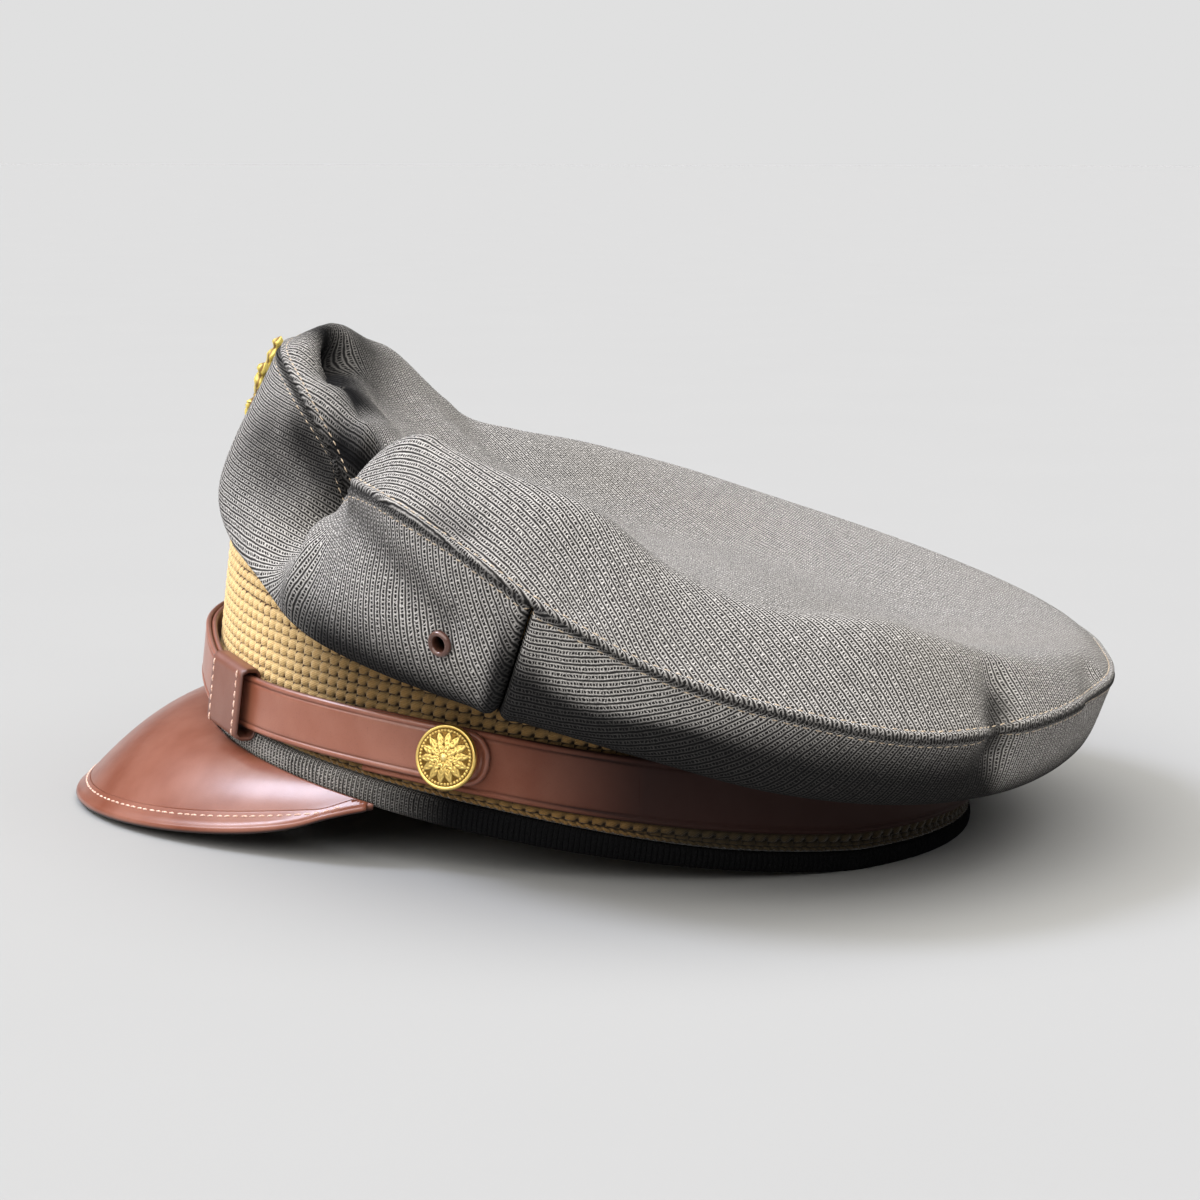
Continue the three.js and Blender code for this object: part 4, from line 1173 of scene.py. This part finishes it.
def makeKeeper(word, side):
    turn = side * keeper["turn"]
    straps = 2 * strap["leather"] + strap["gap"]
    deep, tall = straps / 2 + keeper["slackOut"], strap["width"] / 2 + keeper["slackUp"]
    out = ovalOut(turn)
    up = np.array([0, 0, 1.0])
    along = np.cross(up, out) * side
    centre = ovalPoint(turn, leftSeat(turn) + straps / 2, strapMiddle(turn))
    inside = keeperLoop(deep, tall, keeper["insideCorner"])
    outside = keeperLoop(deep + keeper["leather"], tall + keeper["leather"], keeper["outsideCorner"])
    place = np.linspace(-1, 1, keeper["stations"])
    ragged = random.normal(0, keeper["fray"], (2, len(outside)))
    half = keeper["long"] / 2

    def sweep(section, grow):
        grid = []
        for p in place:
            fray = (ragged[0] if p < 0 else ragged[1]) * abs(p) ** 6
            thin = 1 - keeper["thin"] * abs(p) ** 10 * grow
            low = 1 - 0.01 * abs(p) ** 10 * grow
            curl = keeper["curl"] * abs(p) ** 4
            outward = section[:, :1] * thin + curl * np.sign(section[:, :1])
            offset = out * outward + up * section[:, 1:] * low
            grid.append(centre + offset + along * (p * half + fray)[:, None])
        return np.stack(grid, 1)

    outer, inner = sweep(outside, 1), sweep(inside, 0)
    if side < 0:
        outer, inner = outer[:, ::-1], inner[:, ::-1]
    edge = np.abs(place)[None, :] ** 14 + 0 * outer[..., 0]
    burnish = edge.ravel() * keeper["edgeBurnish"] + keeper["burnish"]
    marks = {"burnish": np.concatenate([burnish, np.full(edge.size, keeper["innerBurnish"])])}
    faces = wallFaces(len(outside), len(place), True)[:, ::-1]
    addPiece("keeper" + word, toWorld(stacked(outer, inner)), [faces], strapLeather,
             ["keeper_" + word.lower()], marks)
    rise = np.linspace(-tall - keeper["seamOver"], tall + keeper["seamOver"], 40)
    face = centre + out * (deep + keeper["leather"] + keeper["seamLift"]) + up * rise[:, None]
    rows = []
    for way in (-1, 1):
        path = face + along * way * (half - keeper["seam"])
        rows.append(stitchRow(path, np.tile(out, (len(path), 1)), keeperStitch))
    points, faces = joinMeshes(rows)
    addPiece("keeperStitches" + word, toWorld(points), faces, leatherThread)


# Buttons: a plain rim round a rosette of leaves

button = {
    "turn": 91, "neck": 2.4, "tilt": math.radians(11), "sides": 192,
    "rows": [                                # radius and height of its rim, from the shank outward
        (2.4, 0), (2.4, 1.9), (7.2, 2.1), (7.75, 2.3), (8, 2.75),
        (7.98, 3.1), (7.88, 3.5), (7.68, 3.72), (7.4, 3.76), (7.16, 3.64),
    ],
    "face": 7.08, "faceLow": 3.45, "faceTop": 4.55, "faceRows": 60, "relief": 0.5,
    "rimRub": 0.7, "shankRub": 0.2,          # how bright the plain parts are
}
rosetteForm = {
    "petals": [                              # how many, radius, length, width, height, where they start
        (14, 4.7, 1.75, 1.0, 0.85, 0.5),
        (9, 2.6, 1.5, 0.95, 1.0, 0.0),
    ],
    "pearl": 1.15, "beads": 48, "beadRing": 6.6, "beadWide": 0.42, "beadLong": 0.4, "beadHigh": 0.75,
}


def rosette(r, a):                           # 0 in the ground, 1 on the highest leaf
    relief = 0.22 + 0.12 * np.cos(15 * r) * np.cos(48 * a)
    for petals, middle, long, wide, high, start in rosetteForm["petals"]:
        sector = ((a / math.tau * petals + start + 0.5) % 1 - 0.5) * math.tau / petals
        across = sector * r / wide
        reach = (r - middle) / long
        taper = np.sqrt(np.maximum(1e-4, 1 - reach ** 2)) * (1 - 0.3 * reach)
        dome = np.clip(1 - (across / np.maximum(taper, 0.05)) ** 2, 0, 1) * (np.abs(reach) < 1)
        veins = (1 - 0.3 * bell(across, 0.16)) * (0.85 + 0.15 * np.cos(9 * reach + 7 * np.abs(across)))
        relief = np.maximum(relief, high * dome ** 0.5 * veins)
    pearl = np.clip(1 - (r / rosetteForm["pearl"]) ** 2, 0, 1) ** 0.5
    beads, ring = rosetteForm["beads"], rosetteForm["beadRing"]
    beside = ((a / math.tau * beads) % 1 - 0.5) * math.tau / beads * ring / rosetteForm["beadWide"]
    bead = np.clip(1 - beside ** 2 - ((r - ring) / rosetteForm["beadLong"]) ** 2, 0, 1) ** 0.5
    return np.maximum.reduce(np.broadcast_arrays(relief, pearl, rosetteForm["beadHigh"] * bead))


def makeButton(word, side):
    turn = side * button["turn"]
    flat = ovalOut(turn)
    up = np.array([0, 0, 1.0])
    axis = flat * math.cos(button["tilt"]) + up * math.sin(button["tilt"])
    right = unit(np.cross(up, axis))
    above = np.cross(axis, right)
    seat = leftSeat(turn) + strap["leather"] + strap["gap"] + button["neck"] * math.sin(button["tilt"])
    centre = ovalPoint(turn, seat, strapMiddle(turn))
    around = np.arange(button["sides"]) * math.tau / button["sides"]
    radial = right * np.cos(around)[:, None] + above * np.sin(around)[:, None]
    faceRadius = np.linspace(button["face"], 0.05, button["faceRows"])
    radius = np.concatenate([[r for r, _ in button["rows"]], faceRadius])
    low, top = button["faceLow"], button["faceTop"]
    dome = low + (top - low) * (1 - (faceRadius / button["face"]) ** 2)
    plain = np.concatenate([[h for _, h in button["rows"]], dome])
    relief = np.concatenate([np.full((len(around), len(button["rows"])), button["rimRub"]),
                             rosette(faceRadius[None, :], around[:, None])], 1)
    relief[:, 0:2] = button["shankRub"]
    lift = np.where(np.arange(len(radius)) >= len(button["rows"]), button["relief"], 0) * relief
    grid = centre + radial[:, None] * radius[None, :, None] + axis * (plain[None, :] + lift)[..., None]
    index = numbered(grid)
    after = np.roll(index, -1, 0)
    faces = quads(index[:, :-1], after[:, :-1], after[:, 1:], index[:, 1:])
    caps = [index[::-1, 0][None], index[:, -1][None]]
    addPiece("button" + word, toWorld(grid.reshape(-1, 3)), [faces] + caps, gilt,
             ["button_" + word.lower()], {"relief": relief.ravel()})


# Badge: a medallion in a wreath of leaves, X to the side, Y up, Z out

badge = {
    "height": 80.2, "reach": 105.6, "tilt": math.radians(9.5), "bend": 44,
    "boss": 10.8, "bossDeep": 1.9, "bossLift": 0.8, "bossRelief": 0.75, "rosette": 0.72,
    "rope": 10.0, "ropeWide": 0.8, "ropeTurns": 48, "bossSides": 180, "bossRows": 72,
    "wreath": 15.5, "underWreath": 12.2, "underSize": 0.72, "sink": 0.75, "leaves": 5,
    "from": 24, "to": 156, "splay": 60, "leafLong": 11, "leafWide": 5.6, "leafDeep": 2.9,
    "leafColumns": 25, "leafRows": 17, "leafBlunt": 2.4, "backRub": 0.85,
    "lobes": 3, "waist": (0.14, 0.26), "dip": (0.12, 0.44),  # between lobes, and more toward the tip
    "vein": 0.22, "ridges": 0.1, "broad": 0.5, "edgeHigh": 0.12,
}


def badgeLeaf():
    columns, rows = badge["leafColumns"], badge["leafRows"]
    u, v = np.meshgrid(np.linspace(-1, 1, columns), np.linspace(-1, 1, rows), indexing="ij")
    half = np.maximum(0.05, np.sqrt(np.maximum(0, 1 - np.abs(u) ** badge["leafBlunt"])))
    lobes = (1 - np.cos(badge["lobes"] * math.pi * u)) / 2
    waist, dip = (1 - lobes * (root + tip * ease(0, 0.5, u)) for root, tip in (badge["waist"], badge["dip"]))
    crest = (1 - 0.75 * v ** 2) * half ** 0.5 * dip
    ridges = badge["ridges"] * (0.5 + 0.5 * np.cos(16 * u - 7 * np.abs(v))) * np.abs(v)
    vein = badge["vein"] * bell(v, 0.1) + ridges
    high = badge["leafDeep"] * (crest * 0.9 - vein) * 0.9
    broad = 1 + badge["broad"] * ease(0.45, -0.2, u)         # fuller toward the root
    x, y = u * badge["leafLong"] / 2, v * half * waist * broad * badge["leafWide"] / 2
    top = np.stack([x, y, np.maximum(high, badge["edgeHigh"])], -1)
    below = np.stack([x, y, -0.5 * badge["leafDeep"] * crest], -1)
    relief = np.clip(crest * 1.1 - 3 * vein, 0, 1)
    return stacked(top, below), wallFaces(columns, rows, False), relief.ravel()


def badgeBoss():
    sides, rows = badge["bossSides"], badge["bossRows"]
    share = np.linspace(1, 0.004, rows)
    r, a = np.meshgrid(share * badge["boss"], np.arange(sides) * math.tau / sides)
    fromRope = r - badge["rope"]
    rope = np.clip(1 - (fromRope / badge["ropeWide"]) ** 2, 0, 1) ** 0.5
    rope = rope * (0.75 + 0.25 * np.cos(badge["ropeTurns"] * a + 2.2 * fromRope))
    relief = np.maximum(rosette(r * badge["rosette"], a) * (r < badge["rope"]), rope)
    front = badge["bossDeep"] * np.sqrt(np.maximum(0, 1 - share ** 2)) + 0 * r
    top = np.stack([r * np.cos(a), r * np.sin(a), front + badge["bossRelief"] * relief], -1)
    below = np.stack([r * np.cos(a), r * np.sin(a), -front], -1)
    return stacked(top, below), wallFaces(sides, rows, True), relief.ravel()


def makeBadge():
    leafPoints, leafFaces, leafRelief = badgeLeaf()
    apart = (badge["to"] - badge["from"]) / (badge["leaves"] - 1)
    long = [(badge["from"] + apart * k, badge["wreath"], 1.0) for k in range(badge["leaves"])]
    short = [(badge["from"] + apart * (k - 0.5), badge["underWreath"], badge["underSize"])
             for k in range(badge["leaves"] + 1)]
    leaves = []
    for side in (1, -1):
        for turn, wreath, size in short + long:
            a = math.radians(turn)
            x, y = side * wreath * math.sin(a), -wreath * math.cos(a)
            fall = -x * x / (2 * badge["bend"])
            lie = Matrix.Rotation(x / badge["bend"], 3, "Y")
            lie = lie @ Matrix.Rotation(side * math.radians(turn - badge["splay"]), 3, "Z")
            flip = leafPoints * [side * size, size, size]
            placed = flip @ np.array(lie).T + [x, y, fall + badge["leafDeep"] * (size - badge["sink"])]
            leaves.append((placed, [leafFaces if side > 0 else leafFaces[:, ::-1]]))
    points, faces = joinMeshes(leaves)
    relief = np.tile(np.concatenate([leafRelief, np.full(len(leafRelief), badge["backRub"])]), len(leaves))
    tip = np.array(Matrix.Rotation(math.pi / 2 - badge["tilt"], 3, "X")).T
    seat = np.array([0, -badge["reach"], badge["height"]])
    addPiece("badgeWreath", toWorld(points @ tip + seat), faces, badgeGilt, ["badge"],
             {"relief": relief})
    points, faces, relief = badgeBoss()
    points = points + [0, 0, badge["bossLift"]]
    addPiece("badgeBoss", toWorld(points @ tip + seat), [faces], gilt, [],
             {"relief": np.concatenate([relief, 0 * relief])})


makeVisor()
makeVisorEdge()
makeStrap("strapLeft", "strap_left", -strap["lap"], strap["end"], leftSeat, strap["leather"], "last")
makeStrap("strapRight", "strap_right", -strap["end"], strap["lap"], rightSeat, strap["leather"], "first")
rearEnds = strap["rearEnd"], 360 - strap["rearEnd"]
makeStrap("strapRear", "strap_rear", *rearEnds, rearSeat, strap["rearLeather"], "none")
for word, side in (("Left", 1), ("Right", -1)):
    makeKeeper(word, side)
    makeButton(word, side)
makeBadge()


# Camera, floor and light

view = {
    "aim": (-2.46, 3.754, 43.232), "azimuth": 113.39, "elevation": 9.11, "distance": 0.7506, "lens": 83.48,
}


def aim(holder, way):                        # its back toward that way
    holder.rotation_euler = Vector(way).to_track_quat("Z", "Y").to_euler()


def makeCamera():
    a, e = math.radians(view["azimuth"]), math.radians(view["elevation"])
    back = Vector((math.sin(a) * math.cos(e), -math.cos(a) * math.cos(e), math.sin(e)))
    lens = bpy.data.cameras.new("camera")
    lens.lens = view["lens"]
    camera = addObject("camera", lens)
    camera.location = Vector((capShift + view["aim"]) / 1000) + back * view["distance"]
    aim(camera, back)
    bpy.context.scene.camera = camera


studio = {
    "floor": 40.0, "floorShade": shade(151.5, 151.2, 150.3), "grain": shade(145.5, 145.2, 144.3),
    "grainSize": 9.0, "grainShare": 0.3,
    "horizon": 0.745, "sky": 0.1, "band": (0.07, 0.2),     # brightness, and the sines it changes between
}
suns = [                   # from where, how wide in degrees, strength, colour
    {"name": "sky", "from": (0.28, 0.0, 1.0), "spread": 112, "power": 6.3, "shade": (1.0, 0.985, 0.95)},
    {"name": "key", "from": (0.1, -0.62, 0.78), "spread": 18, "power": 2.1, "shade": (0.74, 0.8, 1.0)},
]
glint = {"at": (1.0, -0.52, 0.34), "wide": 0.4, "power": 1, "shade": (1.0, 0.96, 0.9)}


def makeStudio():
    look = Look("floor", {"Roughness": 1.0, "Specular IOR Level": 0.0})
    grain = look.noise(look.place(), studio["grainSize"]) * studio["grainShare"]
    floorLook = look.feed(colour=look.mix(grain, studio["floorShade"], studio["grain"]))
    half = studio["floor"]
    mesh = bpy.data.meshes.new("floor")
    corners = [(-half, -half, 0), (half, -half, 0), (half, half, 0), (-half, half, 0)]
    mesh.from_pydata(corners, [], [(0, 1, 2, 3)])
    mesh.materials.append(floorLook)
    floor = addObject("floor", mesh)
    for sun in suns:
        light = bpy.data.lights.new(sun["name"], "SUN")
        light.energy = sun["power"]
        light.angle = math.radians(sun["spread"])
        light.color = sun["shade"]
        aim(addObject(sun["name"], light), sun["from"])
    light = bpy.data.lights.new("glint", "AREA")
    light.shape = "DISK"
    light.size = glint["wide"]
    light.energy = glint["power"]
    light.color = glint["shade"]
    lamp = addObject("glint", light)
    lamp.location = glint["at"]
    aim(lamp, glint["at"])
    world = bpy.data.worlds.new("studio")
    world.use_nodes = True
    nodes, links = world.node_tree.nodes, world.node_tree.links
    place = nodes.new("ShaderNodeTexCoord")
    parts = nodes.new("ShaderNodeSeparateXYZ")
    links.new(place.outputs["Generated"], parts.inputs[0])
    fade = nodes.new("ShaderNodeMapRange")
    fade.interpolation_type = "SMOOTHSTEP"
    sockets = "From Min", "From Max", "To Min", "To Max"
    for socket, value in zip(sockets, (*studio["band"], studio["horizon"], studio["sky"])):
        fade.inputs[socket].default_value = value
    links.new(parts.outputs["Z"], fade.inputs["Value"])
    sky = nodes["Background"]
    sky.inputs["Color"].default_value = (1, 1, 1, 1)
    links.new(fade.outputs[0], sky.inputs["Strength"])
    bpy.context.scene.world = world
    bpy.context.scene.view_settings.view_transform = "Standard"


makeCamera()
makeStudio()
print("camera and studio ready")
